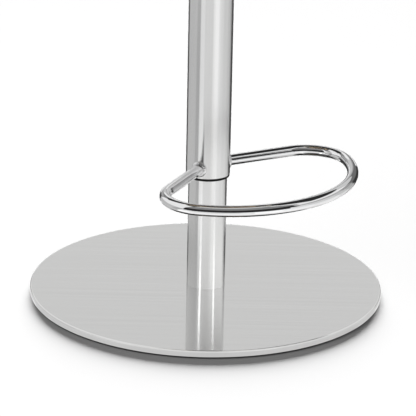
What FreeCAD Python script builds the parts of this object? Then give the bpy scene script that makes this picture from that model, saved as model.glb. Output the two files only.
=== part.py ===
import FreeCAD, Part
import math
import os

# A height-adjustable salon stool: a steel disc base, a two-tube telescopic column round a gas
# spring, a bent-tube footrest welded to the upper tube, and a round padded seat.
# Millimetres. Origin on the floor at the column's axis, +Z up, the footrest's bow towards -Y,
# the lift lever towards -X. Every piece is drawn with the seat at its lowest position.

# Fits shared by all pieces
FIT = 0.05                      # radial gap of pieces that are pressed, welded or screwed together
RUNNING = 0.1                   # radial gap of a shaft that turns or slides in its guide
GLIDE = 0.15                    # radial gap of the plastic bush that glides on the lower tube

# Base
BASE_DIAMETER = 410.0
SKIN_THICKNESS = 1.0            # stainless cover
SKIN_EDGE_RADIUS = 1.6
SKIN_CLEARANCE = 0.3            # between the cover's rim and the plate inside it
BALLAST_THICKNESS = 6.0
FLOOR_RING_HEIGHT = 2.0
FLOOR_RING_WIDTH = 12.0
FLOOR_RING_INSET = 5.0          # from the ballast plate's edge

# Lower tube and the plug in its foot
COLUMN_DIAMETER = 44.45
COLUMN_WALL = 2.0
COLUMN_HEADROOM = 21.0          # from the guide bush to the plug in the top of the upper tube
FOOT_PLUG_HEIGHT = 24.0
CLIP_RECESS_DIAMETER = 20.0
CLIP_RECESS_DEPTH = 8.0
BASE_SCREW_COUNT = 3
BASE_SCREW_DIAMETER = 6.0
BASE_SCREW_LENGTH = 18.0
BASE_SCREW_CIRCLE = 30.0
BASE_SCREW_SOCKET = 4.0         # across flats
BASE_SCREW_SOCKET_DEPTH = 2.0
GUIDE_BUSH_LENGTH = 80.0
GUIDE_BUSH_FLANGE = 3.0

# Swivel bearing
RACE_DIAMETER = 28.0
RACE_THICKNESS = 2.6
RACE_GAP = 2.6                  # between the two races' faces
BALL_DIAMETER = 4.0
BALL_COUNT = 12
BALL_CIRCLE = 19.0
CAGE_THICKNESS = 1.6
CAGE_WALL = 1.2                 # round each ball's pocket

# Gas spring
ROD_DIAMETER = 10.0
ROD_NECK_DIAMETER = 8.0
ROD_GROOVE_DEPTH = 1.0
ROD_END = 1.6                   # rod left below the clip
ROD_HEAD_THICKNESS = 2.0
CLIP_THICKNESS = 1.2
CLIP_DIAMETER = 15.0
WASHER_THICKNESS = 1.5
WASHER_DIAMETER = 17.0
BUMP_STOP_HEIGHT = 20.0
BUMP_STOP_DIAMETER = 24.0
BUMP_STOP_GAP = 0.3             # left under the pressure tube at the lowest position
LIFT_STROKE = 200.0
PRESSURE_TUBE_DIAMETER = 28.0
PRESSURE_TUBE_WALL = 1.5
PRESSURE_TUBE_LENGTH = 454.0
ROLLED_LIP = 2.0                # the tube's ends are rolled in
ROLLED_LIP_WIDTH = 6.0
TAPER_LENGTH = 58.0
TAPER_DROP = 0.8                # in radius, over the taper
INNER_CYLINDER_WALL = 1.2
BYPASS_GAP = 1.0                # gas passage round the inner cylinder
ROD_GUIDE_HEIGHT = 20.0
ROD_SEAL_HEIGHT = 5.0
ROD_SEAL_WALL = 5.0
SPIGOT_HEIGHT = 6.0
PISTON_HEIGHT = 16.0
PISTON_CLEARANCE = 1.0          # over the rod guide at the top of the stroke
PISTON_RING_HEIGHT = 3.0
PISTON_RING_DEPTH = 2.0
VALVE_BODY_HEIGHT = 62.0
VALVE_PIN_DIAMETER = 8.0
VALVE_PIN_LENGTH = 40.0
VALVE_PIN_PROJECTION = 6.7
VALVE_PIN_NOSE = 2.0            # chamfer round the pressed end
VALVE_PIN_TRAVEL = 4.5
VALVE_PORT_DIAMETER = 3.0

# Upper tube
SLEEVE_WALL = 1.5
SLEEVE_LENGTH = 333.0
SLEEVE_EDGE_RADIUS = 0.6
GLIDE_BUSH_WALL = 1.525
GLIDE_BUSH_LENGTH = 32.0
GLIDE_BUSH_LIP = 2.0
GLIDE_BUSH_LIP_INSET = 0.4
TOP_PLUG_HEIGHT = 22.0

# Footrest
FOOTREST_DIAMETER = 12.7
FOOTREST_WALL = 1.5
FOOTREST_RISE = 11.5            # from the upper tube's end to the bar's centre line
FOOTREST_REACH = 172.0          # from the column's axis to the bar's centre line in front
FOOTREST_BOW_RADIUS = 148.0
FOOTREST_BEND_RADIUS = 46.0
FOOTREST_ARM_ANGLE = 70.8       # of each arm from the front, in degrees
WELD_LEG = 2.4

# Seat mechanism
SOCKET_DIAMETER = 38.0
SOCKET_GAP = 0.5                # over the plug in the upper tube
SOCKET_STANDOUT = 2.0           # of the gas spring's end above the socket
PAN_WIDTH = 110.0
PAN_DEPTH = 39.0
PAN_THICKNESS = 2.5
PAN_FLANGE_WIDTH = 160.0
PAN_CORNER_RADIUS = 14.0
LEVER_DIAMETER = 10.0
LEVER_ARM = 25.0                # from the valve pin to the lever's pivot
LEVER_TAIL = 8.0                # past the valve pin
LEVER_GAP = 0.3                 # between the lever and the valve pin at rest
LEVER_HEADROOM = 13.0           # from the lever's centre line to the seat board
LEVER_REACH = 182.0
LEVER_BEND_AT = 42.0
LEVER_BEND_RADIUS = 40.0
LEVER_DROOP = 14.0              # degrees
LEVER_LIFT = 9.0                # degrees
LEVER_SLOT_CLEARANCE = 1.0      # beside the lever, and over it when lifted
LEVER_REST_GAP = 0.3            # under the lever, which rests in its slot
GRIP_LENGTH = 64.0
GRIP_DIAMETER = 19.0
GRIP_ROOT_DIAMETER = 15.0
GRIP_END_WALL = 8.0
GRIP_NOSE_RADIUS = 5.0
PIVOT_DIAMETER = 5.0
PIVOT_HEAD_DIAMETER = 8.0
PIVOT_HEAD_THICKNESS = 1.5
PIVOT_RUNNING = 0.05
EAR_WIDTH = 10.0
EAR_THICKNESS = 2.5
EAR_SIDE_GAP = 0.5              # between the lever and each ear
EAR_EDGE = 4.0                  # of steel above the pivot's hole

# Seat
SEAT_SCREW_SPACING = 130.0
SEAT_SCREW_DIAMETER = 6.0
SEAT_SCREW_HEAD = 10.0          # across flats
SEAT_SCREW_HEAD_HEIGHT = 4.0
SEAT_WASHER_DIAMETER = 14.0
SEAT_WASHER_THICKNESS = 1.2
SCREW_HOLE_CLEARANCE = 0.5
TEE_NUT_BARREL = 8.0
TEE_NUT_FLANGE = 18.0
TEE_NUT_FLANGE_THICKNESS = 1.2
BOARD_DIAMETER = 330.0
BOARD_THICKNESS = 12.0
LEATHER_THICKNESS = 1.2
LEATHER_HEM_WIDTH = 32.0        # turned in under the board
SOFT_GAP = 0.3                  # between soft pieces
FOAM_BULGE = 13.0               # of the side past the board's edge
FOAM_SEAM_OUT = 9.0             # of the top seam past the board's edge
FOAM_SIDE_HEIGHT = 44.0
FOAM_SHOULDER_WIDTH = 34.0
FOAM_SHOULDER_RISE = 13.0
FOAM_CROWN_RISE = 7.0
FOAM_FULLNESS = 0.15            # bow of the shoulder, as a share of its chord
PIPING_DIAMETER = 6.0
PIPING_SINK = 0.7               # of the cord into the seam
DUST_COVER_THICKNESS = 0.8
DUST_COVER_INSET = 8.0          # inside the board's edge
DUST_COVER_OPENING = 236.0

# Heights and radii that follow from the sizes above
DIAGONAL = math.sqrt(0.5)
ballast_bottom = FLOOR_RING_HEIGHT
ballast_top = ballast_bottom + BALLAST_THICKNESS
base_top = ballast_top + SKIN_THICKNESS
base_radius = BASE_DIAMETER / 2
ballast_radius = base_radius - SKIN_THICKNESS - SKIN_CLEARANCE

column_radius = COLUMN_DIAMETER / 2
column_bore = column_radius - COLUMN_WALL
plug_top = ballast_top + FOOT_PLUG_HEIGHT
recess_top = ballast_top + CLIP_RECESS_DEPTH

rod_radius = ROD_DIAMETER / 2
neck_radius = ROD_NECK_DIAMETER / 2
washer_top = recess_top - RUNNING
clip_top = washer_top - WASHER_THICKNESS - RUNNING
clip_bottom = clip_top - CLIP_THICKNESS
rod_bottom = clip_bottom - ROD_END

race_radius = RACE_DIAMETER / 2
lower_race_top = plug_top + RACE_THICKNESS
upper_race_bottom = lower_race_top + RACE_GAP
ball_height = lower_race_top + RACE_GAP / 2
ball_radius = BALL_DIAMETER / 2
ball_circle = BALL_CIRCLE / 2
rod_shoulder = upper_race_bottom + RACE_THICKNESS

bump_stop_top = rod_shoulder + BUMP_STOP_HEIGHT
tube_bottom = bump_stop_top + BUMP_STOP_GAP
tube_top = tube_bottom + PRESSURE_TUBE_LENGTH
tube_radius = PRESSURE_TUBE_DIAMETER / 2
tube_bore = tube_radius - PRESSURE_TUBE_WALL
tube_end_radius = tube_radius - TAPER_DROP
taper_bottom = tube_top - TAPER_LENGTH
guide_bottom = tube_bottom + ROLLED_LIP
guide_top = guide_bottom + ROD_GUIDE_HEIGHT
valve_top = tube_top - ROLLED_LIP
valve_bottom = valve_top - VALVE_BODY_HEIGHT
cylinder_radius = tube_bore - BYPASS_GAP
cylinder_bore = cylinder_radius - INNER_CYLINDER_WALL
piston_bottom = guide_top + SPIGOT_HEIGHT + LIFT_STROKE + PISTON_CLEARANCE
piston_top = piston_bottom + PISTON_HEIGHT
pin_radius = VALVE_PIN_DIAMETER / 2
pin_top = tube_top + VALVE_PIN_PROJECTION
pin_bottom = pin_top - VALVE_PIN_LENGTH

glide_radius = column_radius + GLIDE
sleeve_bore = glide_radius + GLIDE_BUSH_WALL
sleeve_radius = sleeve_bore + SLEEVE_WALL
top_plug_bottom = taper_bottom
sleeve_top = top_plug_bottom + TOP_PLUG_HEIGHT
sleeve_bottom = sleeve_top - SLEEVE_LENGTH
bush_flange_top = top_plug_bottom - COLUMN_HEADROOM
column_top = bush_flange_top - GUIDE_BUSH_FLANGE
footrest_height = sleeve_bottom + FOOTREST_RISE
footrest_radius = FOOTREST_DIAMETER / 2

socket_radius = SOCKET_DIAMETER / 2
socket_bottom = sleeve_top + SOCKET_GAP
socket_top = tube_top - SOCKET_STANDOUT
lever_radius = LEVER_DIAMETER / 2
lever_height = pin_top + LEVER_GAP + lever_radius
board_bottom = lever_height + LEVER_HEADROOM
board_top = board_bottom + BOARD_THICKNESS
board_radius = BOARD_DIAMETER / 2
pan_bottom = board_bottom - PAN_DEPTH
flange_bottom = board_bottom - PAN_THICKNESS
pivot_radius = PIVOT_DIAMETER / 2
ear_inside = lever_radius + EAR_SIDE_GAP
ear_outside = ear_inside + EAR_THICKNESS


def at(radius, height):
    """A point of a turned section, in the XZ plane."""
    return FreeCAD.Vector(radius, 0, height)


def turn(edges):
    """The solid that a closed section of edges sweeps round the Z axis."""
    face = Part.Face(Part.Wire(edges))
    return face.revolve(FreeCAD.Vector(0, 0, 0), FreeCAD.Vector(0, 0, 1), 360)


def turned(*points):
    """A turned solid from the corners of its section, each (radius, height)."""
    corners = [at(radius, height) for radius, height in points]
    outline = Part.makePolygon(corners + corners[:1])
    return turn(outline.Edges)


def ring(inner, outer, bottom, top):
    """A plain turned ring."""
    return turned((inner, bottom), (outer, bottom), (outer, top), (inner, top))


def rod(radius, bottom, top, x=0, y=0):
    """An upright cylinder."""
    return Part.makeCylinder(radius, top - bottom, FreeCAD.Vector(x, y, bottom))


def hexagon(across_flats, bottom, top, x=0, y=0):
    """An upright hexagonal bar."""
    corner = across_flats / math.sqrt(3)
    angles = [math.radians(60 * step) for step in range(7)]
    points = [FreeCAD.Vector(x + corner * math.cos(a), y + corner * math.sin(a), bottom) for a in angles]
    face = Part.Face(Part.makePolygon(points))
    return face.extrude(FreeCAD.Vector(0, 0, top - bottom))


def block(x0, x1, y0, y1, z0, z1, corner_radius=0):
    """A box between two corners, with rounded upright edges."""
    box = Part.makeBox(x1 - x0, y1 - y0, z1 - z0, FreeCAD.Vector(x0, y0, z0))
    if not corner_radius:
        return box
    upright = [edge for edge in box.Edges if abs(edge.BoundBox.ZLength - (z1 - z0)) < 1e-6]
    return box.makeFillet(corner_radius, upright)


def square(width, bottom, top, corner_radius):
    """An upright square block about the column's axis, with rounded corners."""
    half = width / 2
    return block(-half, half, -half, half, bottom, top, corner_radius)


def round_rim(solid, edge_radius, radius, height):
    """Round the circular edge of a turned solid that has this radius and height."""
    rims = []
    for edge in solid.Edges:
        circle = isinstance(edge.Curve, Part.Circle) and abs(edge.Curve.Radius - radius) < 1e-6
        if circle and abs(edge.Curve.Center.z - height) < 1e-6:
            rims.append(edge)
    return solid.makeFillet(edge_radius, rims)


def around(count, circle):
    """Evenly spaced places on a circle about the column's axis."""
    angles = [2 * math.pi * step / count for step in range(count)]
    return [(circle * math.cos(a), circle * math.sin(a)) for a in angles]


def taper_radius(height):
    """The gas spring's outer radius at a height on its taper."""
    return tube_radius - TAPER_DROP * (height - taper_bottom) / TAPER_LENGTH


def taper_hole(bottom, top):
    """The hole that seats on the taper between two heights."""
    lower = taper_radius(bottom) + FIT
    upper = taper_radius(top) + FIT
    return turned((0, bottom), (lower, bottom), (upper, top), (0, top))


# Base

def floor_ring():
    outer = ballast_radius - FLOOR_RING_INSET
    return ring(outer - FLOOR_RING_WIDTH, outer, 0, FLOOR_RING_HEIGHT)


def base_screw_places():
    return around(BASE_SCREW_COUNT, BASE_SCREW_CIRCLE / 2)


def countersunk(radius, x, y, length):
    """A countersunk screw's body from the ballast plate's underside up, its head as wide as twice its shank."""
    head = Part.makeCone(2 * radius, radius, radius, FreeCAD.Vector(x, y, ballast_bottom))
    return head.fuse(rod(radius, ballast_bottom, ballast_bottom + length, x, y)).removeSplitter()


def ballast_plate():
    plate = rod(ballast_radius, ballast_bottom, ballast_top)
    for x, y in base_screw_places():
        plate = plate.cut(countersunk(BASE_SCREW_DIAMETER / 2 + FIT, x, y, BASE_SCREW_LENGTH))
    return plate


def base_cover():
    hole = column_radius + FIT
    inside = base_radius - SKIN_THICKNESS
    skin = turned(
        (hole, ballast_top), (inside, ballast_top), (inside, ballast_bottom),
        (base_radius, ballast_bottom), (base_radius, base_top), (hole, base_top),
    )
    return round_rim(skin, SKIN_EDGE_RADIUS, base_radius, base_top)


def base_screws():
    screws = []
    for x, y in base_screw_places():
        screw = countersunk(BASE_SCREW_DIAMETER / 2, x, y, BASE_SCREW_LENGTH)
        socket_end = ballast_bottom + BASE_SCREW_SOCKET_DEPTH
        screws.append(screw.cut(hexagon(BASE_SCREW_SOCKET, ballast_bottom, socket_end, x, y)))
    return Part.makeCompound(screws)


def lower_column():
    return ring(column_bore, column_radius, ballast_top, column_top)


def column_foot_plug():
    outer = column_bore - FIT
    recess = CLIP_RECESS_DIAMETER / 2
    bore = neck_radius + RUNNING
    plug = turned(
        (recess, ballast_top), (outer, ballast_top), (outer, plug_top),
        (bore, plug_top), (bore, recess_top), (recess, recess_top),
    )
    for x, y in base_screw_places():
        tip = ballast_bottom + BASE_SCREW_LENGTH + FIT
        plug = plug.cut(rod(BASE_SCREW_DIAMETER / 2 + FIT, ballast_bottom, tip, x, y))
    return plug


def column_guide_bush():
    bore = tube_radius + RUNNING
    body = column_bore - FIT
    return turned(
        (bore, column_top - GUIDE_BUSH_LENGTH), (body, column_top - GUIDE_BUSH_LENGTH), (body, column_top),
        (column_radius, column_top), (column_radius, bush_flange_top), (bore, bush_flange_top),
    )


# Swivel bearing

def ball_track():
    """The groove that the balls roll in, cut into both races."""
    return Part.makeTorus(ball_circle, ball_radius + FIT, FreeCAD.Vector(0, 0, ball_height))


def bearing_lower_race():
    return ring(rod_radius, race_radius, plug_top, lower_race_top).cut(ball_track())


def bearing_upper_race():
    return ring(neck_radius + FIT, race_radius, upper_race_bottom, rod_shoulder).cut(ball_track())


def bearing_balls():
    places = around(BALL_COUNT, ball_circle)
    return Part.makeCompound([Part.makeSphere(ball_radius, FreeCAD.Vector(x, y, ball_height)) for x, y in places])


def bearing_cage():
    pocket = ball_radius + RUNNING
    half = CAGE_THICKNESS / 2
    cage = ring(ball_circle - pocket - CAGE_WALL, ball_circle + pocket + CAGE_WALL,
                ball_height - half, ball_height + half)
    for x, y in around(BALL_COUNT, ball_circle):
        cage = cage.cut(rod(pocket, ball_height - half, ball_height + half, x, y))
    return cage


# Gas spring: the rod and what turns with it

def piston_rod():
    groove = neck_radius - ROD_GROOVE_DEPTH
    head = rod_radius + ROD_GROOVE_DEPTH
    head_top = piston_top + ROD_HEAD_THICKNESS
    return turned(
        (0, rod_bottom), (neck_radius, rod_bottom), (neck_radius, clip_bottom - FIT),
        (groove, clip_bottom - FIT), (groove, clip_top + FIT), (neck_radius, clip_top + FIT),
        (neck_radius, rod_shoulder), (rod_radius, rod_shoulder), (rod_radius, piston_bottom),
        (neck_radius, piston_bottom), (neck_radius, piston_top), (head, piston_top),
        (head, head_top), (0, head_top),
    )


def rod_washer():
    return ring(neck_radius + FIT, WASHER_DIAMETER / 2, washer_top - WASHER_THICKNESS, washer_top)


def rod_clip():
    inner = neck_radius - ROD_GROOVE_DEPTH + FIT
    clip = ring(inner, CLIP_DIAMETER / 2, clip_bottom, clip_top)
    mouth = block(0, CLIP_DIAMETER, -inner, inner, clip_bottom, clip_top)
    return clip.cut(mouth)


def bump_stop():
    return ring(rod_radius + GLIDE, BUMP_STOP_DIAMETER / 2, rod_shoulder, bump_stop_top)


def piston_ring_span():
    """The ring's lower and upper faces, at the middle of the piston."""
    middle = (piston_bottom + piston_top) / 2
    return middle - PISTON_RING_HEIGHT / 2, middle + PISTON_RING_HEIGHT / 2


def piston():
    bore = neck_radius + FIT
    outer = cylinder_bore - RUNNING
    groove = outer - PISTON_RING_DEPTH
    low, high = piston_ring_span()
    return turned(
        (bore, piston_bottom), (outer, piston_bottom), (outer, low - FIT), (groove, low - FIT),
        (groove, high + FIT), (outer, high + FIT), (outer, piston_top), (bore, piston_top),
    )


def piston_ring():
    low, high = piston_ring_span()
    outer = cylinder_bore - FIT
    return ring(cylinder_bore - RUNNING - PISTON_RING_DEPTH + FIT, outer, low, high)


# Gas spring: the pressure tube and what is in it

def pressure_tube():
    foot_lip = tube_radius - ROLLED_LIP_WIDTH
    head_lip = pin_radius + RUNNING
    return turned(
        (foot_lip, tube_bottom), (tube_radius, tube_bottom), (tube_radius, taper_bottom),
        (tube_end_radius, tube_top), (head_lip, tube_top), (head_lip, valve_top),
        (tube_bore, valve_top), (tube_bore, guide_bottom), (foot_lip, guide_bottom),
    )


def inner_cylinder():
    return ring(cylinder_bore, cylinder_radius, guide_top, valve_bottom)


def rod_guide():
    bore = rod_radius + RUNNING
    pocket = bore + ROD_SEAL_WALL + FIT
    outer = tube_bore - FIT
    spigot = cylinder_bore - FIT
    spigot_top = guide_top + SPIGOT_HEIGHT
    pocket_top = guide_bottom + ROD_SEAL_HEIGHT
    return turned(
        (pocket, guide_bottom), (outer, guide_bottom), (outer, guide_top), (spigot, guide_top),
        (spigot, spigot_top), (bore, spigot_top), (bore, pocket_top), (pocket, pocket_top),
    )


def rod_seal():
    bore = rod_radius + RUNNING
    return ring(bore, bore + ROD_SEAL_WALL, guide_bottom, guide_bottom + ROD_SEAL_HEIGHT)


def valve_body():
    outer = tube_bore - FIT
    spigot = cylinder_bore - FIT
    spigot_bottom = valve_bottom - SPIGOT_HEIGHT
    port = VALVE_PORT_DIAMETER / 2
    bore = pin_radius + RUNNING
    bore_bottom = pin_bottom - VALVE_PIN_TRAVEL - GLIDE
    return turned(
        (port, spigot_bottom), (spigot, spigot_bottom), (spigot, valve_bottom), (outer, valve_bottom),
        (outer, valve_top), (bore, valve_top), (bore, bore_bottom), (port, bore_bottom),
    )


def valve_pin():
    nose = pin_radius - VALVE_PIN_NOSE
    return turned(
        (0, pin_bottom), (pin_radius, pin_bottom), (pin_radius, pin_top - VALVE_PIN_NOSE),
        (nose, pin_top), (0, pin_top),
    )


# Upper tube and footrest

def sleeve_tube():
    tube = ring(sleeve_bore, sleeve_radius, sleeve_bottom, sleeve_top)
    tube = round_rim(tube, SLEEVE_EDGE_RADIUS, sleeve_radius, sleeve_bottom)
    return round_rim(tube, SLEEVE_EDGE_RADIUS, sleeve_radius, sleeve_top)


def sleeve_glide_bush():
    lip = sleeve_radius - GLIDE_BUSH_LIP_INSET
    body = sleeve_bore - FIT
    lip_bottom = sleeve_bottom - GLIDE_BUSH_LIP
    bush_top = sleeve_bottom + GLIDE_BUSH_LENGTH
    return turned(
        (glide_radius, lip_bottom), (lip, lip_bottom), (lip, sleeve_bottom), (body, sleeve_bottom),
        (body, bush_top), (glide_radius, bush_top),
    )


def sleeve_top_plug():
    plug = rod(sleeve_bore - FIT, top_plug_bottom, sleeve_top)
    return plug.cut(taper_hole(top_plug_bottom, sleeve_top))


def footrest_plan(across, forward):
    """A point of the footrest's centre line: across to +X, forward to -Y."""
    return FreeCAD.Vector(across, -forward, footrest_height)


def footrest_arm(side):
    """The direction in which one arm leaves the upper tube; side is 1 or -1."""
    angle = math.radians(FOOTREST_ARM_ANGLE)
    return FreeCAD.Vector(side * math.sin(angle), -math.cos(angle), 0)


def footrest_path(root):
    """The centre line from root, a distance from the axis, out along one arm, round the bow and back."""
    angle = math.radians(FOOTREST_ARM_ANGLE)
    out_x = math.sin(angle)
    out_f = math.cos(angle)
    bow_centre = FOOTREST_REACH - FOOTREST_BOW_RADIUS
    inner = FOOTREST_BOW_RADIUS - FOOTREST_BEND_RADIUS
    # The bend touches the arm and, from inside, the bow
    offset_x = -FOOTREST_BEND_RADIUS * out_f
    offset_f = FOOTREST_BEND_RADIUS * out_x - bow_centre
    along = out_x * offset_x + out_f * offset_f
    reach = -along + math.sqrt(along ** 2 - offset_x ** 2 - offset_f ** 2 + inner ** 2)
    bend_x = reach * out_x + offset_x
    bend_f = reach * out_f + offset_f + bow_centre
    length = math.hypot(bend_x, bend_f - bow_centre)
    join_x = bend_x / length
    join_f = (bend_f - bow_centre) / length
    # The bend's middle lies halfway between its two ends' directions
    middle_x = join_x + out_f
    middle_f = join_f - out_x
    middle = math.hypot(middle_x, middle_f)
    middle_x = bend_x + FOOTREST_BEND_RADIUS * middle_x / middle
    middle_f = bend_f + FOOTREST_BEND_RADIUS * middle_f / middle
    end_x = FOOTREST_BOW_RADIUS * join_x
    end_f = FOOTREST_BOW_RADIUS * join_f + bow_centre

    def side(sign):
        start = footrest_plan(sign * root * out_x, root * out_f)
        touch = footrest_plan(sign * reach * out_x, reach * out_f)
        via = footrest_plan(sign * middle_x, middle_f)
        end = footrest_plan(sign * end_x, end_f)
        return start, touch, via, end

    start_r, touch_r, via_r, end_r = side(1)
    start_l, touch_l, via_l, end_l = side(-1)
    return Part.Wire([
        Part.LineSegment(start_r, touch_r).toShape(),
        Part.Arc(touch_r, via_r, end_r).toShape(),
        Part.Arc(end_r, footrest_plan(0, FOOTREST_REACH), end_l).toShape(),
        Part.Arc(end_l, via_l, touch_l).toShape(),
        Part.LineSegment(touch_l, start_l).toShape(),
    ])


def footrest_sweep(radius):
    """A round bar of this radius along the footrest's centre line, starting inside the upper tube's wall."""
    root = sleeve_radius - footrest_radius
    path = footrest_path(root)
    arm = footrest_arm(1)
    circle = Part.makeCircle(radius, arm * root + FreeCAD.Vector(0, 0, footrest_height), arm)
    return path.makePipeShell([Part.Wire(circle)], True, False)


def sleeve_core():
    """The space inside the upper tube's outer face, for coping what is welded to it."""
    return rod(sleeve_radius, sleeve_bottom, sleeve_top)


def footrest_bar():
    bar = footrest_sweep(footrest_radius).cut(footrest_sweep(footrest_radius - FOOTREST_WALL))
    return bar.cut(sleeve_core())


def footrest_welds():
    beads = []
    for side in (1, -1):
        arm = footrest_arm(side)
        root = arm * (sleeve_radius - WELD_LEG) + FreeCAD.Vector(0, 0, footrest_height)
        bead = Part.makeCone(footrest_radius + 2 * WELD_LEG, footrest_radius, 2 * WELD_LEG, root, arm)
        bar = Part.makeCylinder(footrest_radius + FIT, 4 * WELD_LEG, root, arm)
        beads.append(bead.cut(bar).cut(sleeve_core()))
    return Part.makeCompound(beads)


# Seat mechanism

def taper_socket():
    socket = rod(socket_radius, socket_bottom, socket_top)
    return socket.cut(taper_hole(socket_bottom, socket_top))


def seat_screw_places():
    half = SEAT_SCREW_SPACING / 2
    return [(x, y) for x in (-half, half) for y in (-half, half)]


def lever_drop(distance):
    """How far the lever has drooped at a distance from the valve pin."""
    droop = math.radians(LEVER_DROOP)
    past = distance - LEVER_BEND_AT
    arc_end = LEVER_BEND_RADIUS * math.sin(droop)
    if past <= 0:
        return 0
    if past < arc_end:
        return LEVER_BEND_RADIUS - math.sqrt(LEVER_BEND_RADIUS ** 2 - past ** 2)
    return LEVER_BEND_RADIUS * (1 - math.cos(droop)) + (past - arc_end) * math.tan(droop)


def lever_slot():
    """The hole in the pan's wall that the lever rests and swings in."""
    outside = PAN_WIDTH / 2
    inside = outside - PAN_THICKNESS
    half_width = lever_radius + LEVER_SLOT_CLEARANCE
    half_height = lever_radius / math.cos(math.radians(LEVER_DROOP))
    swing = (outside - LEVER_ARM) * math.tan(math.radians(LEVER_LIFT))
    bottom = lever_height - lever_drop(outside) - half_height - LEVER_REST_GAP
    top = lever_height - lever_drop(inside) + half_height + swing + LEVER_SLOT_CLEARANCE
    return block(-outside, -inside, -half_width, half_width, bottom, top)


def mechanism_pan():
    inside = PAN_WIDTH - 2 * PAN_THICKNESS
    inside_corner = PAN_CORNER_RADIUS - PAN_THICKNESS
    pan = square(PAN_WIDTH, pan_bottom, board_bottom, PAN_CORNER_RADIUS)
    pan = pan.fuse(square(PAN_FLANGE_WIDTH, flange_bottom, board_bottom, PAN_CORNER_RADIUS))
    pan = pan.cut(square(inside, pan_bottom + PAN_THICKNESS, board_bottom, inside_corner))
    pan = pan.cut(rod(socket_radius + FIT, pan_bottom, pan_bottom + PAN_THICKNESS))
    pan = pan.cut(lever_slot())
    for x, y in seat_screw_places():
        pan = pan.cut(rod(SEAT_SCREW_DIAMETER / 2 + SCREW_HOLE_CLEARANCE, flange_bottom, board_bottom, x, y))
    return pan.removeSplitter()


def lever_bracket():
    foot = pan_bottom + PAN_THICKNESS
    ear_top = lever_height + pivot_radius + EAR_EDGE
    x0 = -LEVER_ARM - EAR_WIDTH / 2
    x1 = -LEVER_ARM + EAR_WIDTH / 2
    bracket = block(x0, x1, -ear_outside, ear_outside, foot, ear_top)
    bracket = bracket.cut(block(x0, x1, -ear_inside, ear_inside, foot + EAR_THICKNESS, ear_top))
    bracket = bracket.cut(rod(socket_radius + SCREW_HOLE_CLEARANCE, foot, socket_top))
    return bracket.cut(pivot_bar(pivot_radius + FIT, ear_outside))


def pivot_bar(radius, half_length):
    """A bar across the lever at its pivot."""
    start = FreeCAD.Vector(-LEVER_ARM, -half_length, lever_height)
    return Part.makeCylinder(radius, 2 * half_length, start, FreeCAD.Vector(0, 1, 0))


def lever_pivot_pin():
    head = PIVOT_HEAD_DIAMETER / 2
    heads = pivot_bar(head, ear_outside + PIVOT_HEAD_THICKNESS).cut(pivot_bar(head, ear_outside))
    return heads.fuse(pivot_bar(pivot_radius, ear_outside)).removeSplitter()


def lever_end():
    """Where the lever's outer run starts and ends, and the bend's middle, in the XZ plane."""
    droop = math.radians(LEVER_DROOP)
    centre_z = lever_height - LEVER_BEND_RADIUS

    def on_bend(angle):
        x = -LEVER_BEND_AT - LEVER_BEND_RADIUS * math.sin(angle)
        return FreeCAD.Vector(x, 0, centre_z + LEVER_BEND_RADIUS * math.cos(angle))

    bent = on_bend(droop)
    run = (LEVER_REACH + bent.x) / math.cos(droop)
    tip = bent + FreeCAD.Vector(-math.cos(droop), 0, -math.sin(droop)) * run
    return bent, on_bend(droop / 2), tip


def grip_start():
    """The foot of the grip, on the lever's outer run."""
    droop = math.radians(LEVER_DROOP)
    tip = lever_end()[2]
    return tip + FreeCAD.Vector(math.cos(droop), 0, math.sin(droop)) * GRIP_LENGTH


def lever_rod():
    droop = math.radians(LEVER_DROOP)
    bent, middle, tip = lever_end()
    tail = FreeCAD.Vector(LEVER_TAIL, 0, lever_height)
    bend = FreeCAD.Vector(-LEVER_BEND_AT, 0, lever_height)
    end = tip + FreeCAD.Vector(math.cos(droop), 0, math.sin(droop)) * GRIP_END_WALL
    path = Part.Wire([
        Part.LineSegment(tail, bend).toShape(),
        Part.Arc(bend, middle, bent).toShape(),
        Part.LineSegment(bent, end).toShape(),
    ])
    circle = Part.makeCircle(lever_radius, tail, FreeCAD.Vector(-1, 0, 0))
    bar = path.makePipeShell([Part.Wire(circle)], True, False)
    return bar.cut(pivot_bar(pivot_radius + PIVOT_RUNNING, LEVER_DIAMETER))


def lever_grip():
    bore = lever_radius + FIT
    root = GRIP_ROOT_DIAMETER / 2
    belly = GRIP_DIAMETER / 2
    bore_end = GRIP_LENGTH - GRIP_END_WALL + FIT
    shoulder = GRIP_LENGTH - GRIP_NOSE_RADIUS
    flat = root - GRIP_NOSE_RADIUS
    bulge = GRIP_NOSE_RADIUS * DIAGONAL
    grip = turn([
        Part.LineSegment(at(0, bore_end), at(bore, bore_end)).toShape(),
        Part.LineSegment(at(bore, bore_end), at(bore, 0)).toShape(),
        Part.LineSegment(at(bore, 0), at(root, 0)).toShape(),
        Part.Arc(at(root, 0), at(belly, shoulder / 2), at(root, shoulder)).toShape(),
        Part.Arc(at(root, shoulder), at(flat + bulge, shoulder + bulge), at(flat, GRIP_LENGTH)).toShape(),
        Part.LineSegment(at(flat, GRIP_LENGTH), at(0, GRIP_LENGTH)).toShape(),
        Part.LineSegment(at(0, GRIP_LENGTH), at(0, bore_end)).toShape(),
    ])
    grip.rotate(FreeCAD.Vector(0, 0, 0), FreeCAD.Vector(0, 1, 0), -90 - LEVER_DROOP)
    grip.translate(grip_start())
    return grip


# Seat

def seat_board():
    board = rod(board_radius, board_bottom, board_top)
    for x, y in seat_screw_places():
        board = board.cut(rod(TEE_NUT_BARREL / 2 + FIT, board_bottom, board_top, x, y))
        flange_seat = board_top - TEE_NUT_FLANGE_THICKNESS
        board = board.cut(rod(TEE_NUT_FLANGE / 2 + FIT, flange_seat, board_top, x, y))
    return board


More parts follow.
